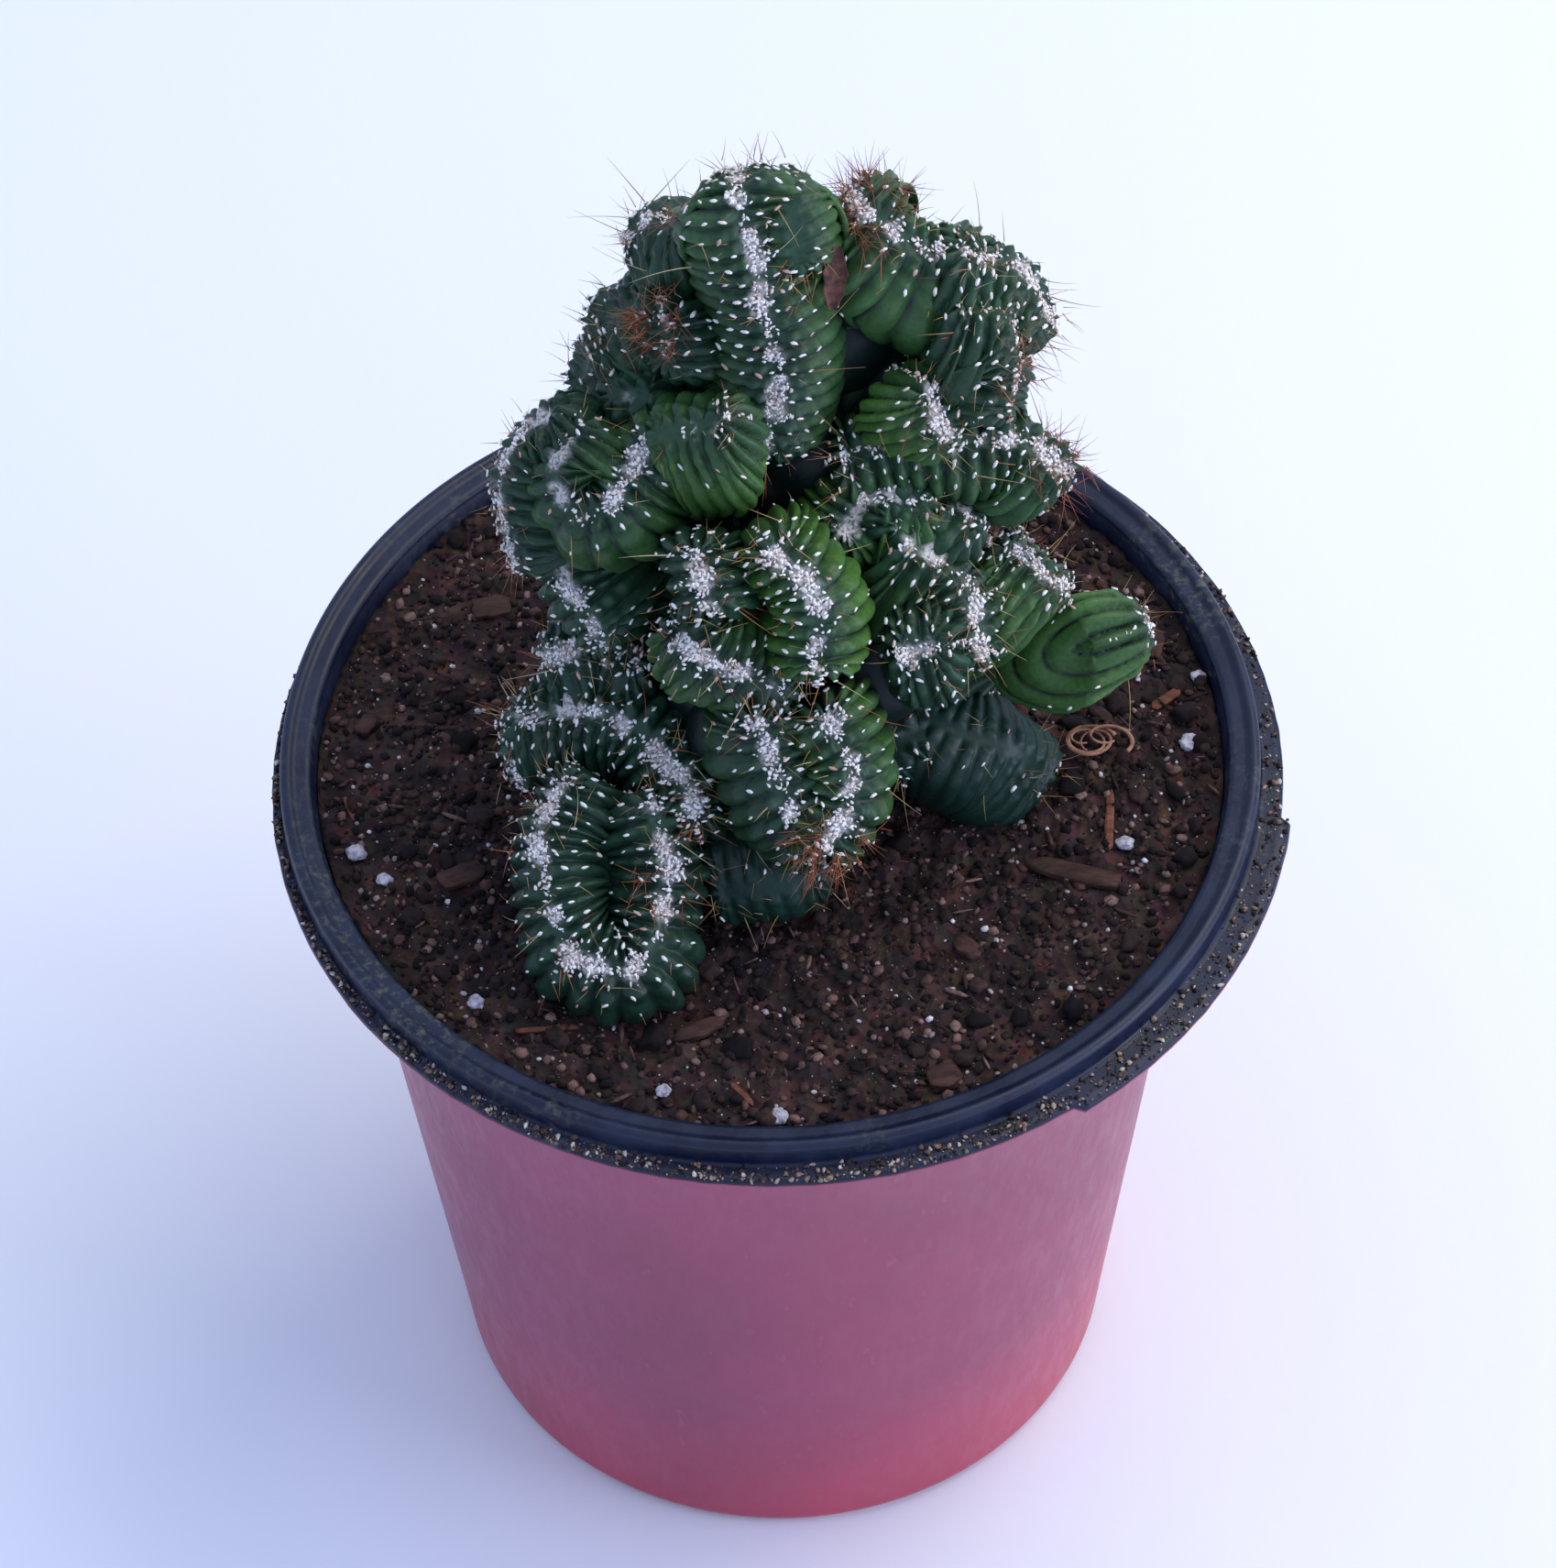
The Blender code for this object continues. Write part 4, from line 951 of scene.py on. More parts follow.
    def pleated(self, share, around, s):
        """The surface with its ribs, its ridge's groove and its lumps, and each point's attributes."""
        point, normal, u, reach = self.surface(share, around)
        phase = u / self.pitch
        wave = np.abs(np.cos(math.pi * phase)) ** 0.72
        rib_number = np.round(phase)
        rib_size = 1 + 0.28 * np.sin(rib_number * 2.4 + self.number)
        near = smoothstep(0.0004, 0.0019, reach)
        fade = 1 - 0.60 * smoothstep(0.0040, 0.0140, reach)
        row = np.cos(2 * math.pi * ((reach - 0.0022) / s.row_pitch - 0.5 * (rib_number % 2)))
        height = s.rib_depth * self.worn * near * fade * rib_size * (wave - 0.62)
        notch = 0.00030 * self.worn * near * wave * row * smoothstep(0.9, 0.25, reach / 0.012)
        groove = -0.00055 * np.exp(-(reach / 0.0012) ** 2) * self.worn
        lump = 0.00050 * np.sin(point @ np.array((310.0, 170.0, 230.0)) + self.number)
        lump += 0.00035 * np.sin(point @ np.array((-260.0, 420.0, 190.0)) + 2.3 * self.number)
        moved = point + normal * (height + notch + groove + lump)[:, None]
        # Height on the rib: the skin paints low values dark as painted shade in the valleys; worn folds stay
        # near the rib top.
        rib = np.clip(wave * near + (1 - near) * 0.75, 0, 1) * self.worn + (1 - self.worn) * 0.8
        aside = np.abs(around * self.width - self.drift(share))
        aside += 0.0002 * np.sin(point @ np.array((3100, 2700, 2300)))
        thick = self.woolly(share)
        felt = smoothstep(0.0018, 0.0006, aside / (0.35 + 0.75 * thick)) * 0.75 * smoothstep(0.25, 0.7, thick)
        return moved, normal, {"rib": rib, "reach": reach, "phase": phase, "felt": felt}

    def mesh(self, bm, s):
        """Adds the fold to bm: a ball bent along the ridge, with the pattern that the skin reads."""
        rings = int((self.length + 2.3 * self.width) / RING_STEP)
        ball = bmesh.new()
        bmesh.ops.create_uvsphere(ball, u_segments=SIDES, v_segments=rings, radius=1.0)
        mesh = bpy.data.meshes.new("fold")
        ball.to_mesh(mesh)
        ball.free()
        co = np.empty(len(mesh.vertices) * 3)
        mesh.vertices.foreach_get("co", co)
        co = co.reshape(-1, 3)
        share = 1 - 2 * np.arccos(np.clip(co[:, 2], -1, 1)) / math.pi
        around = np.arctan2(co[:, 0], co[:, 1])
        around = around - 0.42 * np.sin(around)
        moved, _, marks = self.pleated(share, around, s)
        mesh.vertices.foreach_set("co", moved.reshape(-1))
        height = (moved[:, 2] - POT_TOP) / 0.1
        # Darker, bluer green lower down and on the worn folds: part age, part painted shade.
        age_and_shade = np.clip(1.02 - height * 2.6, 0.0, 1.0) * (0.55 if self.worn == 1.0 else 1.0)
        marks["age_and_shade"] = age_and_shade + (1 - self.worn) * 0.45
        # Painted light: yellower green down the flanks of the folds that face the light, a little more higher
        # up, with young growth.
        lit_and_fresh = 0.25 + 0.75 * smoothstep(0.0010, 0.0065, marks["reach"])
        lit_and_fresh = lit_and_fresh * LIT_AND_FRESH.get(self.name, LIT_AND_FRESH_ELSEWHERE)
        marks["lit_and_fresh"] = np.clip(lit_and_fresh + 0.12 * height, 0, 1)
        for key in SKIN_MARKS:
            layer = mesh.attributes.new(key, "FLOAT", "POINT")
            layer.data.foreach_set("value", marks[key].astype(np.float32))
        bm.from_mesh(mesh)
        bpy.data.meshes.remove(mesh)


def all_folds(s):
    """Every fold of the crest, by group, in a fixed order."""
    folds, number = {}, 0
    for group, members in CREST_GROUPS.items():
        folds[group] = []
        for name, spec in members.items():
            number += 1
            folds[group].append(Fold(name, number, spec, s.rib_pitch))
    return folds


class CACTUS_OT_crest(bpy.types.Operator):
    """Grow the pleated folds of the crest and the flesh between them"""

    bl_idname = "crested_cactus.crest"
    bl_label = "Crest"

    def execute(self, context):
        s = context.scene.cactus_plant
        skin = cactus_skin(s)
        ground = POT_TOP - LIP_DROP - 0.0035
        for group, folds in all_folds(s).items():
            bm = self.started()
            for fold in folds:
                fold.mesh(bm, s)
            self.write(bm, group, skin, ground)
        bm = self.started()
        for centre, radius in CORES:
            bmesh.ops.create_icosphere(bm, subdivisions=4, radius=radius * MM,
                                       matrix=Matrix.Translation(in_world(centre)))
        for vert in bm.verts:
            vert.co += Vector(vert.co).normalized() * 0.0008 * noise.noise(vert.co * 260)
            # The flesh takes the low rib value, painted dark as shade, and some age with painted shade.
            for key, value in SKIN_MARKS.items():
                vert[bm.verts.layers.float[key]] = value
        self.write(bm, "crest_flesh", skin, ground, replaces="cactus")
        return {"FINISHED"}

    def started(self):
        """An empty mesh with the layers that hold the skin's pattern."""
        bm = bmesh.new()
        for key in SKIN_MARKS:
            bm.verts.layers.float.new(key)
        return bm

    def write(self, bm, name, skin, ground, replaces=None):
        """Trims what is deep in the mix and finishes the piece."""
        lowest = min(v.co.z for v in bm.verts)
        if lowest < ground:
            geometry = bm.verts[:] + bm.edges[:] + bm.faces[:]
            bmesh.ops.bisect_plane(bm, geom=geometry, dist=1e-7, plane_co=(0, 0, ground), plane_no=(0, 0, 1),
                                   clear_inner=True)
            rim = [e for e in bm.edges if e.is_boundary]
            if rim:
                bmesh.ops.holes_fill(bm, edges=rim, sides=0)
        finished(bm, name, skin, replaces=replaces)


def buried(points, trees, own, margin):
    """Which points lie inside a fold other than their own."""
    hidden = np.zeros(len(points), bool)
    for index, (tree, low, high) in enumerate(trees):
        inside = np.all((points > low) & (points < high), axis=1) & ~hidden & (own != index)
        for i in np.nonzero(inside)[0]:
            spot = Vector(points[i])
            near, normal, _, _ = tree.find_nearest(spot)
            if near is not None and (spot - near).dot(normal) < -margin:
                hidden[i] = True
    return hidden


def fold_trees(folds):
    """A coarse search tree and box for each fold, for telling what is buried."""
    trees = []
    for fold in folds:
        bm = bmesh.new()
        bmesh.ops.create_uvsphere(bm, u_segments=24, v_segments=28, radius=1.0)
        co = np.array([v.co[:] for v in bm.verts])
        share = 1 - 2 * np.arccos(np.clip(co[:, 2], -1, 1)) / math.pi
        point = fold.surface(share, np.arctan2(co[:, 0], co[:, 1]))[0]
        for vert, place in zip(bm.verts, point):
            vert.co = place
        bmesh.ops.recalc_face_normals(bm, faces=bm.faces)
        trees.append((BVHTree.FromBMesh(bm), point.min(0), point.max(0)))
        bm.free()
    return trees


def areole_spots(folds, s, trees):
    """Where the areoles sit: on the ribs' crowns in rows down from the ridge, and thickly along the ridge."""
    spots = {"point": [], "normal": [], "down": [], "reach": [], "own": []}
    for index, fold in enumerate(folds):
        along = np.linspace(-1, 1, int((fold.length + 2.3 * fold.width) / 0.00028))
        across = np.linspace(-ROOT_FADE, ROOT_FADE, 141)
        share, around = (grid.reshape(-1) for grid in np.meshgrid(along, across, indexing="ij"))
        moved, normal, marks = fold.pleated(share, around, s)
        rib = np.round(marks["phase"])
        stagger = 0.5 * (rib % 2)
        place = (marks["reach"] - 0.0022) / s.row_pitch - stagger
        row = np.round(place)
        miss = (marks["phase"] - rib) ** 2 + (0.8 * (place - row)) ** 2
        good = (marks["reach"] > 0.0016) & (np.abs(marks["phase"] - rib) < 0.2) & (np.abs(place - row) < 0.25)
        key = (rib + 200) * 10000 + (row + 50) * 10 + (around > 0)
        best = {}
        for i in np.nonzero(good)[0]:
            k = key[i]
            if k not in best or miss[i] < miss[best[k]]:
                best[k] = i
        chosen = np.array(sorted(best.values()), int)
        if not len(chosen):
            continue
        onward = fold.pleated(share[chosen], around[chosen] + np.sign(around[chosen]) * 0.05, s)[0]
        down = onward - moved[chosen]
        down /= np.linalg.norm(down, axis=1)[:, None] + 1e-12
        spots["point"].append(moved[chosen])
        spots["normal"].append(normal[chosen])
        spots["down"].append(down)
        spots["reach"].append(marks["reach"][chosen])
        spots["own"].append(np.full(len(chosen), index))
    spots = {key: np.concatenate(values) for key, values in spots.items()}
    keep = ~buried(spots["point"], trees, spots["own"], 0.0001)
    keep &= spots["point"][:, 2] > POT_TOP - LIP_DROP + 0.001
    return {key: values[keep] for key, values in spots.items()}


def oriented(normal, along, size, twist=0.0):
    """A 3 by 3 placement: x along the surface, z along its normal."""
    z = Vector(normal).normalized()
    x = Vector(along)
    x = (x - z * x.dot(z)).normalized()
    if twist:
        x = Matrix.Rotation(twist, 3, z) @ x
    y = z.cross(x)
    return np.column_stack([np.array(x) * size[0], np.array(y) * size[1], np.array(z) * size[2]])


def tuft(bm, seed=5):
    """A matted tuft of wool about 1 long: a small ball pulled into uneven points."""
    rng = random.Random(seed)
    bmesh.ops.create_icosphere(bm, subdivisions=1, radius=0.5)
    for vert in bm.verts:
        vert.co *= rng.uniform(0.62, 1.45)


class CACTUS_OT_wool(bpy.types.Operator):
    """Set wool along the ridges and in the areoles down the ribs"""

    bl_idname = "crested_cactus.wool"
    bl_label = "Wool"

    def execute(self, context):
        s = context.scene.cactus_plant
        rng = np.random.default_rng(23)
        wool = cactus_wool()
        folds = [fold for group in all_folds(s).values() for fold in group]
        trees = fold_trees(folds)
        spots = areole_spots(folds, s, trees)
        places, tones = [], []
        for i in range(len(spots["reach"])):
            reach = spots["reach"][i]
            worn = folds[int(spots["own"][i])].worn
            if rng.random() < 0.08 + 0.70 * smoothstep(0.0035, 0.0085, reach) + 0.6 * (worn < 0.6):
                continue
            size = s.wool_length * rng.uniform(0.60, 1.10)
            shape = (size, size * rng.uniform(0.36, 0.55), size * rng.uniform(0.35, 0.5))
            turn = oriented(spots["normal"][i], spots["down"][i], shape, rng.normal() * 0.35)
            places.append(np.column_stack([turn, spots["point"][i] + spots["normal"][i] * size * 0.1]))
            tones.append(np.clip(rng.normal(0.78, 0.2), 0, 1) if rng.random() > 0.1 else 0.1)
        stamped("areole_wool", template(tuft), places, wool, tones, smooth=False)
        places, tones = [], []
        for index, fold in enumerate(folds):
            if fold.worn < 0.5 or fold.name in BARE:
                continue
            count = int((fold.length + 2 * fold.end) / 0.00022)
            share = np.repeat(np.linspace(-0.97, 0.97, count), 6)
            share = np.clip(share + rng.normal(0, 0.4 / count, len(share)), -0.98, 0.98)
            thick = fold.woolly(share)
            spread = rng.normal(0, 1, len(share)) * (0.00042 + 0.00062 * thick) + fold.drift(share)
            around = spread / fold.width
            moved, normal, marks = fold.pleated(share, around, s)
            chance = 0.05 + 0.66 * thick ** 1.5
            keep = rng.random(len(share)) < chance
            keep &= ~buried(moved, trees, np.full(len(moved), index), 0.0001)
            along = np.roll(moved, -6, axis=0) - moved
            pink = 0.5 if fold.name in PINK else 0.0
            for i in np.nonzero(keep)[0]:
                size = s.wool_length * rng.uniform(0.35, 0.85)
                shape = (size, size * rng.uniform(0.4, 0.8), size * rng.uniform(0.4, 0.7))
                turn = oriented(normal[i], along[i] + 1e-9, shape, rng.uniform(-1.6, 1.6))
                lift = normal[i] * rng.uniform(0.0, 0.0006)
                places.append(np.column_stack([turn, moved[i] + lift]))
                tone = rng.normal(0.78, 0.17) - 0.3 * (marks["reach"][i] > 0.0022) - pink
                tones.append(np.clip(tone + 0.22 * math.sin(share[i] * 23 + index), 0, 1))
        half = len(places) // 2
        shape = template(lambda bm: tuft(bm, 8))
        stamped("ridge_wool_lower", shape, places[half:], wool, tones[half:], smooth=False)
        stamped("ridge_wool_upper", shape, places[:half], wool, tones[:half], smooth=False)
        return {"FINISHED"}


def spine(bm):
    """A straight tapering spine, one long and two across at its foot."""
    bmesh.ops.create_cone(bm, cap_ends=True, segments=4, radius1=1.0, radius2=0.16, depth=1.0,
                          matrix=Matrix.Translation((0, 0, 0.5)))
    long_edges = [e for e in bm.edges if abs(e.verts[0].co.z - e.verts[1].co.z) > 0.5]
    bmesh.ops.subdivide_edges(bm, edges=long_edges, cuts=4, use_grid_fill=True)


SHORT_SPINES = 1500                         # short straw spines along the ridges
SPINE_BENDS = (-0.16, -0.06, 0.05, 0.14)    # how far a spine's tip is bent aside, in spine lengths


class CACTUS_OT_spines(bpy.types.Operator):
    """Set long straw-coloured spines on the crest and short red ones in clusters"""

    bl_idname = "crested_cactus.spines"
    bl_label = "Spines"

    def execute(self, context):
        s = context.scene.cactus_plant
        rng = np.random.default_rng(31)
        folds = [fold for group in all_folds(s).values() for fold in group]
        trees = fold_trees(folds)
        spots = areole_spots(folds, s, trees)
        shape = template(spine)
        chance = np.exp(-spots["reach"] / 0.006) + 0.05
        picked = rng.choice(len(chance), size=s.spine_count, p=chance / chance.sum())
        foot, way, length, tone = [], [], [], []
        for i in picked:
            lean = spots["down"][i] * rng.normal(0.2, 0.7)
            lean = lean + np.cross(spots["normal"][i], spots["down"][i]) * rng.normal(0, 0.7)
            foot.append(spots["point"][i])
            way.append(spots["normal"][i] * 0.8 + lean)
            length.append(s.spine_length * (0.22 + 0.78 * rng.random() ** 1.7))
            tone.append(np.clip(rng.normal(0.66, 0.2), 0.25, 1))
        close = np.exp(-(spots["reach"] / 0.0030) ** 2)
        for i in rng.choice(len(close), size=SHORT_SPINES, p=close / close.sum()):
            foot.append(spots["point"][i] + rng.normal(0, 0.0006, 3))
            way.append(spots["normal"][i] + rng.normal(0, 0.55, 3))
            length.append(rng.uniform(0.0014, 0.0044))
            tone.append(np.clip(rng.normal(0.52, 0.2), 0.1, 1))
        for centre, reach, count in RED_CLUSTERS:
            middle = in_world(centre)
            near = np.nonzero(np.linalg.norm(spots["point"] - middle, axis=1) < reach * MM)[0]
            if not len(near):
                continue
            for _ in range(count):
                i = rng.choice(near)
                foot.append(spots["point"][i] + rng.normal(0, 0.0005, 3))
                way.append(spots["normal"][i] * 0.9 + rng.normal(0, 0.6, 3))
                length.append(rng.uniform(0.0020, 0.0060))
                tone.append(np.clip(rng.normal(0.26, 0.16), 0, 0.7))
        self.place(shape, foot, way, length, tone, s, rng)
        return {"FINISHED"}

    def place(self, shape, foot, way, length, tone, s, rng):
        """Stamps the spines, each turned about itself and slender, as one piece for each bend."""
        co, faces = shape
        horn = spine_horn()
        groups = [([], []) for _ in SPINE_BENDS]
        for point, aim, size, colour in zip(foot, way, length, tone):
            k = int(rng.integers(len(SPINE_BENDS)))
            z = Vector(aim).normalized()
            x = Matrix.Rotation(rng.random() * ANY_TURN, 3, z) @ z.orthogonal().normalized()
            turn = np.column_stack([np.array(axis) * size for axis in (x, z.cross(x), z)])
            width = s.spine_width / 2 * (0.6 + 0.4 * size / s.spine_length) / size
            bent = co * np.array((width, width, 1.0))
            bent[:, 0] += SPINE_BENDS[k] * co[:, 2] ** 2
            groups[k][0].append(bent @ turn.T + point)
            groups[k][1].append(colour)
        for k, (points, tones) in enumerate(groups):
            if points:
                stamped_points(f"spines_{k + 1}", np.concatenate(points), faces, len(co), horn, tones)


def stamped_points(name, points, faces, size, material, tones):
    """One piece from many copies of a shape whose points are already placed."""
    count = len(points) // size
    identity = np.column_stack([np.eye(3), np.zeros(3)])
    obj = stamped(name, (np.zeros((size, 3)), faces), [identity] * count, material, tones)
    obj.data.vertices.foreach_set("co", points.reshape(-1))
    obj.data.update()
    return obj


# ---- loose pieces on the mix --------------------------------------------------------------------
# node: turn in degrees; each flake takes its place and size from the CAD node it replaces
BARK = {
    "bark_chip_left": 20, "bark_chip_far_left": 60, "bark_chip_front": 25, "bark_chip_right": -18,
    "bark_chip_right_back": 40, "bark_chip_front_right": 30, "bark_chip_back": 75, "bark_chip_mid_right": -50,
    "bark_chip_back_left": 10,
}
SPLINTERS = {
    "wood_splinter_front": 4, "wood_splinter_front_right": -52, "wood_splinter_right": 38,
    "wood_splinter_far_right": 86, "wood_splinter_left": -70,
}
PERLITE = (
    "perlite_grain_left", "perlite_grain_left_low", "perlite_grain_front_left", "perlite_grain_front",
    "perlite_grain_front_low", "perlite_grain_right", "perlite_grain_right_back", "perlite_grain_right_front",
)


def node_size(name, turn):
    """Middle of a CAD node's box, and its length, width and height before it was turned."""
    low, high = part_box(name)
    box = high - low
    c, s = abs(math.cos(turn)), abs(math.sin(turn))
    split = c * c - s * s
    if abs(split) < 0.2:
        length = width = (box.x + box.y) / 2 / (c + s)
        length, width = length * 1.25, width * 0.75
    else:
        length, width = (box.x * c - box.y * s) / split, (box.y * c - box.x * s) / split
    return (low + high) / 2, Vector((length, max(width, 0.001), box.z)), low.z


def flake(name, turn_deg, material, seed, cracks, layers):
    """A split flake: a slab cut into a grid, torn at its edge, ridged along its grain."""
    turn = math.radians(turn_deg)
    middle, size, low = node_size(name, turn)
    rng = random.Random(seed)
    shift = Vector((rng.random() * 9, rng.random() * 9, rng.random() * 9))
    bm = bmesh.new()
    bmesh.ops.create_cube(bm, size=1.0)
    bmesh.ops.subdivide_edges(bm, edges=bm.edges, cuts=11, use_grid_fill=True)
    for vert in bm.verts:
        x, y, z = vert.co
        r = max(abs(x), abs(y)) * 2
        circle = math.hypot(x, y) * 2
        pull = (r / circle) if circle > 1e-6 else 1.0
        pull = 1 + (pull - 1) * 0.65
        edge = 1 + 0.22 * noise.noise(Vector((x, y, 0)).normalized() * 1.7 + shift)
        rough = noise.noise(Vector((x * cracks * 0.5, y * cracks * 2.2, z)) * 2.0 + shift)
        step = math.floor((noise.noise(Vector((x * 2, y * 3, 1)) + shift) + 1) * layers) / layers * 0.12
        thin = 1 - 0.45 * smoothstep(0.55, 1.0, np.array(r)).item()
        rise = (z * thin * (0.85 + step) + 0.10 * rough * (z > 0)) * 0.95
        vert.co = (x * pull * edge, y * pull * edge, rise)
    grow = Matrix.Diagonal((size.x, size.y, size.z, 1))
    bmesh.ops.transform(bm, matrix=Matrix.Rotation(turn, 4, "Z") @ grow, verts=bm.verts)
    sag = min(v.co.z for v in bm.verts)
    lower = 0.0004
    bmesh.ops.translate(bm, verts=bm.verts, vec=(middle.x, middle.y, low - lower - sag))
    finished(bm, name + "_flake", material, replaces=name)


class CACTUS_OT_loose(bpy.types.Operator):
    """Lay bark flakes, splinters, perlite and a dried strand on the mix"""

    bl_idname = "crested_cactus.loose"
    bl_label = "Loose pieces"

    def execute(self, context):
        bark = fibrous_wood("pine_bark", "#1f1311", "#54372d", 1.1)
        wood = fibrous_wood("splintered_pine", "#3f211a", "#84503c", 0.8)
        for seed, (name, turn) in enumerate(BARK.items()):
            flake(name, turn, bark, seed, 3.0, 4)
        for seed, (name, turn) in enumerate(SPLINTERS.items()):
            flake(name, turn, wood, 50 + seed, 2.0, 3)
        stone, tree, shader = new_material("expanded_perlite", 0.9)
        fine = grain(tree, object_coords(tree), 0.5, 4.0)
        tree.links.new(ramp(tree, fine, [(0.3, from_hex("#77727e")), (0.65, from_hex("#c4c0ca"))]),
                       shader.inputs["Base Color"])
        bump(tree, shader, fine, 0.2)
        for seed, name in enumerate(PERLITE):
            low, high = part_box(name)
            bm = bmesh.new()
            bmesh.ops.create_icosphere(bm, subdivisions=4, radius=0.5)
            shift = Vector((seed * 3.1, 1.0, 2.0))
            for vert in bm.verts:
                coarse, fine = noise.noise(vert.co * 2.6 + shift), noise.noise(vert.co * 7 + shift)
                vert.co *= 1 + 0.30 * coarse + 0.12 * fine
            box = high - low
            bmesh.ops.transform(bm, matrix=Matrix.Diagonal((box.x, box.y, box.z, 1)), verts=bm.verts)
            bmesh.ops.translate(bm, verts=bm.verts, vec=(low + high) / 2)
            finished(bm, name + "_grain", stone, replaces=name)
        self.strand(fibrous_wood("dried_rootlet", "#6e4434", "#b98d73", 0.9))
        return {"FINISHED"}

    def strand(self, wood):
        """Three dried rootlets curled together where the low stem meets the mix."""
        low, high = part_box("dried_fibre")
        middle = (low + high) / 2
        box = high - low
        bm = bmesh.new()
        for k in range(3):
            rng = random.Random(70 + k)
            steps, sides = 70, 7
            lean = rng.random() * ANY_TURN
            path = []
            for i in range(steps + 1):
                t = i / steps
                turn = lean + t * (6.0 + 2.2 * k)
                reach = box.x * 0.5 * (1 - 0.55 * t) * (0.9 + 0.2 * math.sin(7 * t + k))
                path.append(Vector((
                    middle.x - 0.0012 * k + reach * math.cos(turn), middle.y + reach * math.sin(turn) * 0.8,
                    low.z + 0.0004 + box.z * (0.15 + 0.75 * abs(math.sin(2.2 * t + k)) * t))))
            for i, point in enumerate(path):
                ahead = (path[min(i + 1, steps)] - path[max(i - 1, 0)]).normalized()
                side = ahead.cross(Vector((0, 0, 1))).normalized()
                up = side.cross(ahead)
                thick = 0.00033 * (1 - 0.6 * i / steps)
                if i == 0:
                    made = bmesh.ops.create_circle(bm, segments=sides, radius=1.0, cap_ends=True)
                    ring = made["verts"]
                    cap = ring[0].link_faces[0]
                else:
                    made = bmesh.ops.extrude_face_region(bm, geom=[cap])
                    cap = next(g for g in made["geom"] if isinstance(g, bmesh.types.BMFace))
                    ring = list(cap.verts)
                for n, vert in enumerate(ring):
                    a = 2 * math.pi * n / sides
                    vert.co = point + (side * math.cos(a) + up * math.sin(a)) * thick
        finished(bm, "dried_rootlets", wood, replaces="dried_fibre")


class CACTUS_OT_scale(bpy.types.Operator):
    """Tuck a dried papery scale into the crease beside the tall column"""

    bl_idname = "crested_cactus.scale"
    bl_label = "Dried scale"

    def execute(self, context):
        made, tree, shader = new_material("dried_papery_scale", 0.75)
        vein = grain(tree, object_coords(tree), 0.6, 4.0)
        tree.links.new(ramp(tree, vein, [(0.3, from_hex("#2b1613")), (0.7, from_hex("#6e4537"))]),
                       shader.inputs["Base Color"])
        bump(tree, shader, vein, 0.15)
        middle = Vector(in_world((10.6, 14.0, 85.0)))
        bm = bmesh.new()
        bmesh.ops.create_grid(bm, x_segments=14, y_segments=30, size=0.5)
        bottom = bm.faces[:]
        bmesh.ops.solidify(bm, geom=bottom, thickness=0.03)
        for vert in bm.verts:
            x, y, z = vert.co
            taper = math.cos(y * 2.6) * (0.9 + 0.25 * noise.noise(Vector((0, y * 6, 3))))
            curl = 0.35 * (2 * x) ** 2 + 0.12 * noise.noise(Vector((x * 4, y * 5, 1)))
            vert.co = Vector((x * taper * 0.0036, -curl * 0.0016 + z * 0.004, y * 0.0088))
        tilt = Matrix.Rotation(math.radians(-38), 4, "X") @ Matrix.Rotation(math.radians(6), 4, "Y")
        bmesh.ops.transform(bm, matrix=Matrix.Translation(middle) @ tilt, verts=bm.verts)
        finished(bm, "dried_scale", made)
        return {"FINISHED"}


# ---- stage --------------------------------------------------------------------------------------
CAMERA_RIGHT = 0.00118      # the aim point, from the middle of the flange, across and down the view
CAMERA_DOWN = 0.0049


SKY_COLOUR = (0.55, 0.67, 1.0, 1.0)
SKY_STRENGTH = 0.98


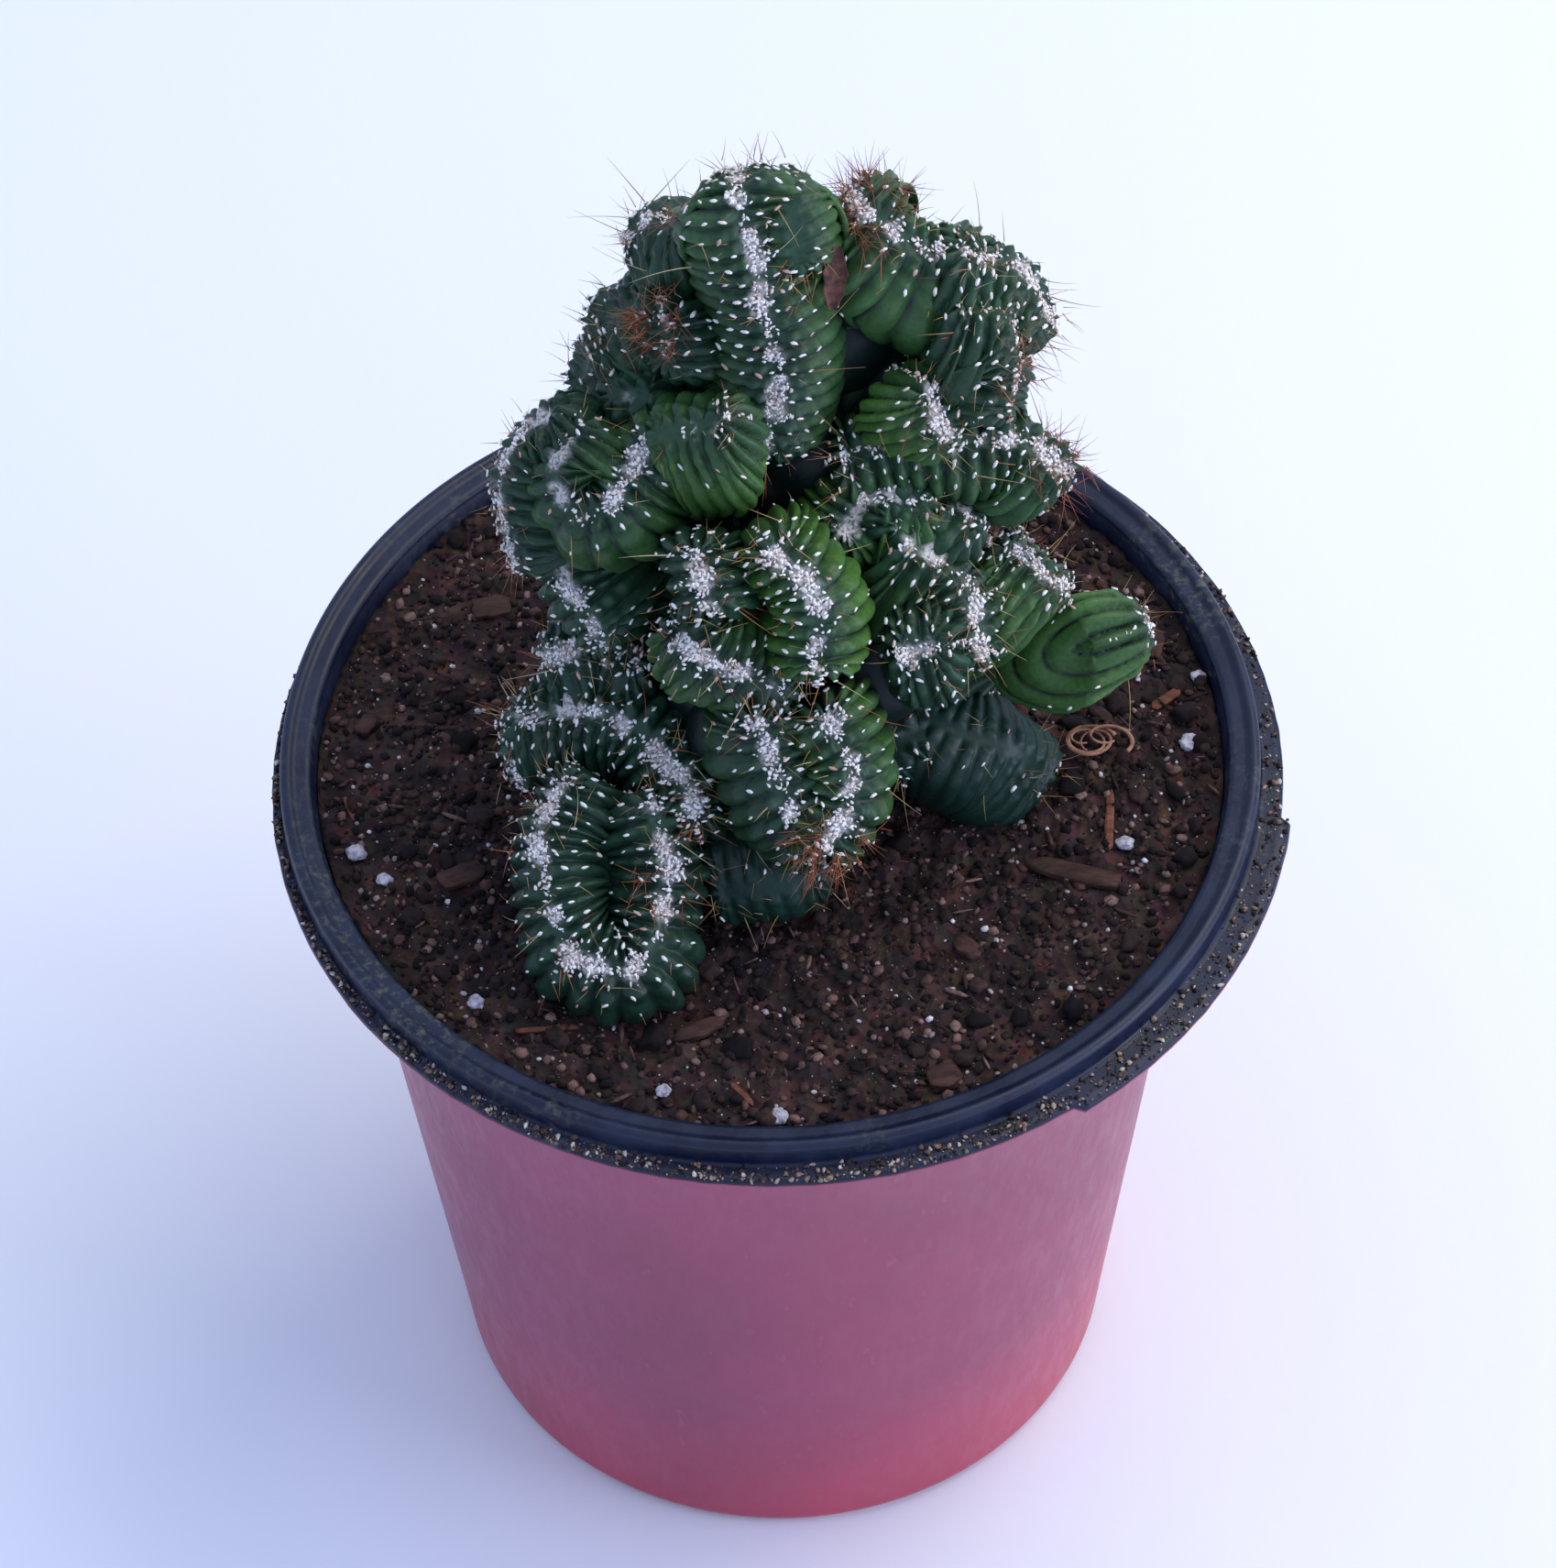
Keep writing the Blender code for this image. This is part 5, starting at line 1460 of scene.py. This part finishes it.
class CACTUS_OT_stage(bpy.types.Operator):
    """Set the camera, a pale seamless floor and soft daylight"""

    bl_idname = "crested_cactus.stage"
    bl_label = "Stage"

    def execute(self, context):
        s = context.scene.cactus_stage
        back = Vector((0, -math.cos(s.elevation), math.sin(s.elevation)))
        level = Vector((1, 0, 0))
        rise = back.cross(level)
        across = math.cos(s.roll) * level + math.sin(s.roll) * rise
        upright = math.cos(s.roll) * rise - math.sin(s.roll) * level
        aim = Vector((0, 0, POT_TOP)) + across * CAMERA_RIGHT - upright * CAMERA_DOWN
        camera = bpy.data.objects.new("camera", bpy.data.cameras.new("camera"))
        context.scene.collection.objects.link(camera)
        camera.data.lens = s.lens
        camera.data.sensor_width = 36.0
        camera.data.clip_start = 0.05
        camera.matrix_world = Matrix.Translation(aim + back * s.distance) @ Matrix(
            (across, upright, back)).transposed().to_4x4()
        context.scene.camera = camera
        self.paper(s)
        self.lamp(context, "window", (0.55, 0.32, 1.05), 0.85, 6.9, (1.0, 0.92, 0.70))
        self.lamp(context, "sky_side", (0.95, -0.30, 0.42), 0.6, 5.6, (0.76, 0.76, 1.0))
        world = bpy.data.worlds.new("soft_room")
        context.scene.world = world
        context.scene.view_settings.view_transform = "Standard"
        world.use_nodes = True
        sky = world.node_tree.nodes["Background"]
        sky.inputs["Color"].default_value = SKY_COLOUR
        sky.inputs["Strength"].default_value = SKY_STRENGTH
        return {"FINISHED"}

    def paper(self, s):
        """A broad sheet of paper under the pot."""
        made, tree, shader = new_material("matte_seamless_paper", 0.9)
        shader.inputs["Base Color"].default_value = (*s.floor, 1.0)
        tooth = grain(tree, object_coords(tree), 1.5, 3.0)
        bump(tree, shader, tooth, 0.05)
        bm = bmesh.new()
        bmesh.ops.create_grid(bm, x_segments=8, y_segments=8, size=1.6)
        mesh = bpy.data.meshes.new("paper_floor")
        bm.to_mesh(mesh)
        bm.free()
        mesh.materials.append(made)
        floor = bpy.data.objects.new("paper_floor", mesh)
        bpy.context.scene.collection.objects.link(floor)

    def lamp(self, context, name, place, size, power, colour):
        """A square soft box that faces the plant."""
        light = bpy.data.lights.new(name, "AREA")
        light.shape, light.size, light.energy, light.color = "SQUARE", size, power, colour
        lamp = bpy.data.objects.new(name, light)
        context.scene.collection.objects.link(lamp)
        lamp.location = place
        lamp.rotation_euler = (Vector(place) - Vector((0, 0, 0.12))).to_track_quat("Z", "Y").to_euler()


# ---- add-on -------------------------------------------------------------------------------------
class CACTUS_PT_sidebar(bpy.types.Panel):
    """Lists the settings and the steps"""

    bl_label = "Crested cactus"
    bl_idname = "CACTUS_PT_sidebar"
    bl_space_type = "VIEW_3D"
    bl_region_type = "UI"
    bl_category = "Cactus"

    def draw(self, context):
        for holder in (context.scene.cactus_pot, context.scene.cactus_mix,
                       context.scene.cactus_plant, context.scene.cactus_stage):
            box = self.layout.box()
            for key in type(holder).__annotations__:
                box.prop(holder, key)
        for operator in OPERATORS:
            self.layout.operator(operator.bl_idname)


SETTINGS = {
    "cactus_plant": CactusSettings, "cactus_pot": PotSettings,
    "cactus_mix": MixSettings, "cactus_stage": StageSettings,
}
OPERATORS = (
    CACTUS_OT_pot, CACTUS_OT_mix, CACTUS_OT_dust, CACTUS_OT_crest, CACTUS_OT_wool, CACTUS_OT_spines,
    CACTUS_OT_scale, CACTUS_OT_loose, CACTUS_OT_stage,
)
CLASSES = (*SETTINGS.values(), *OPERATORS, CACTUS_PT_sidebar)


def register():
    for cls in CLASSES:
        bpy.utils.register_class(cls)
    for key, cls in SETTINGS.items():
        setattr(bpy.types.Scene, key, bpy.props.PointerProperty(type=cls))


def unregister():
    for key in SETTINGS:
        delattr(bpy.types.Scene, key)
    for cls in reversed(CLASSES):
        bpy.utils.unregister_class(cls)


def main():
    register()
    bpy.ops.crested_cactus.pot()
    bpy.ops.crested_cactus.mix()
    bpy.ops.crested_cactus.dust()
    bpy.ops.crested_cactus.crest()
    bpy.ops.crested_cactus.wool()
    bpy.ops.crested_cactus.spines()
    bpy.ops.crested_cactus.scale()
    bpy.ops.crested_cactus.loose()
    bpy.ops.crested_cactus.stage()


if __name__ == "__main__":
    main()
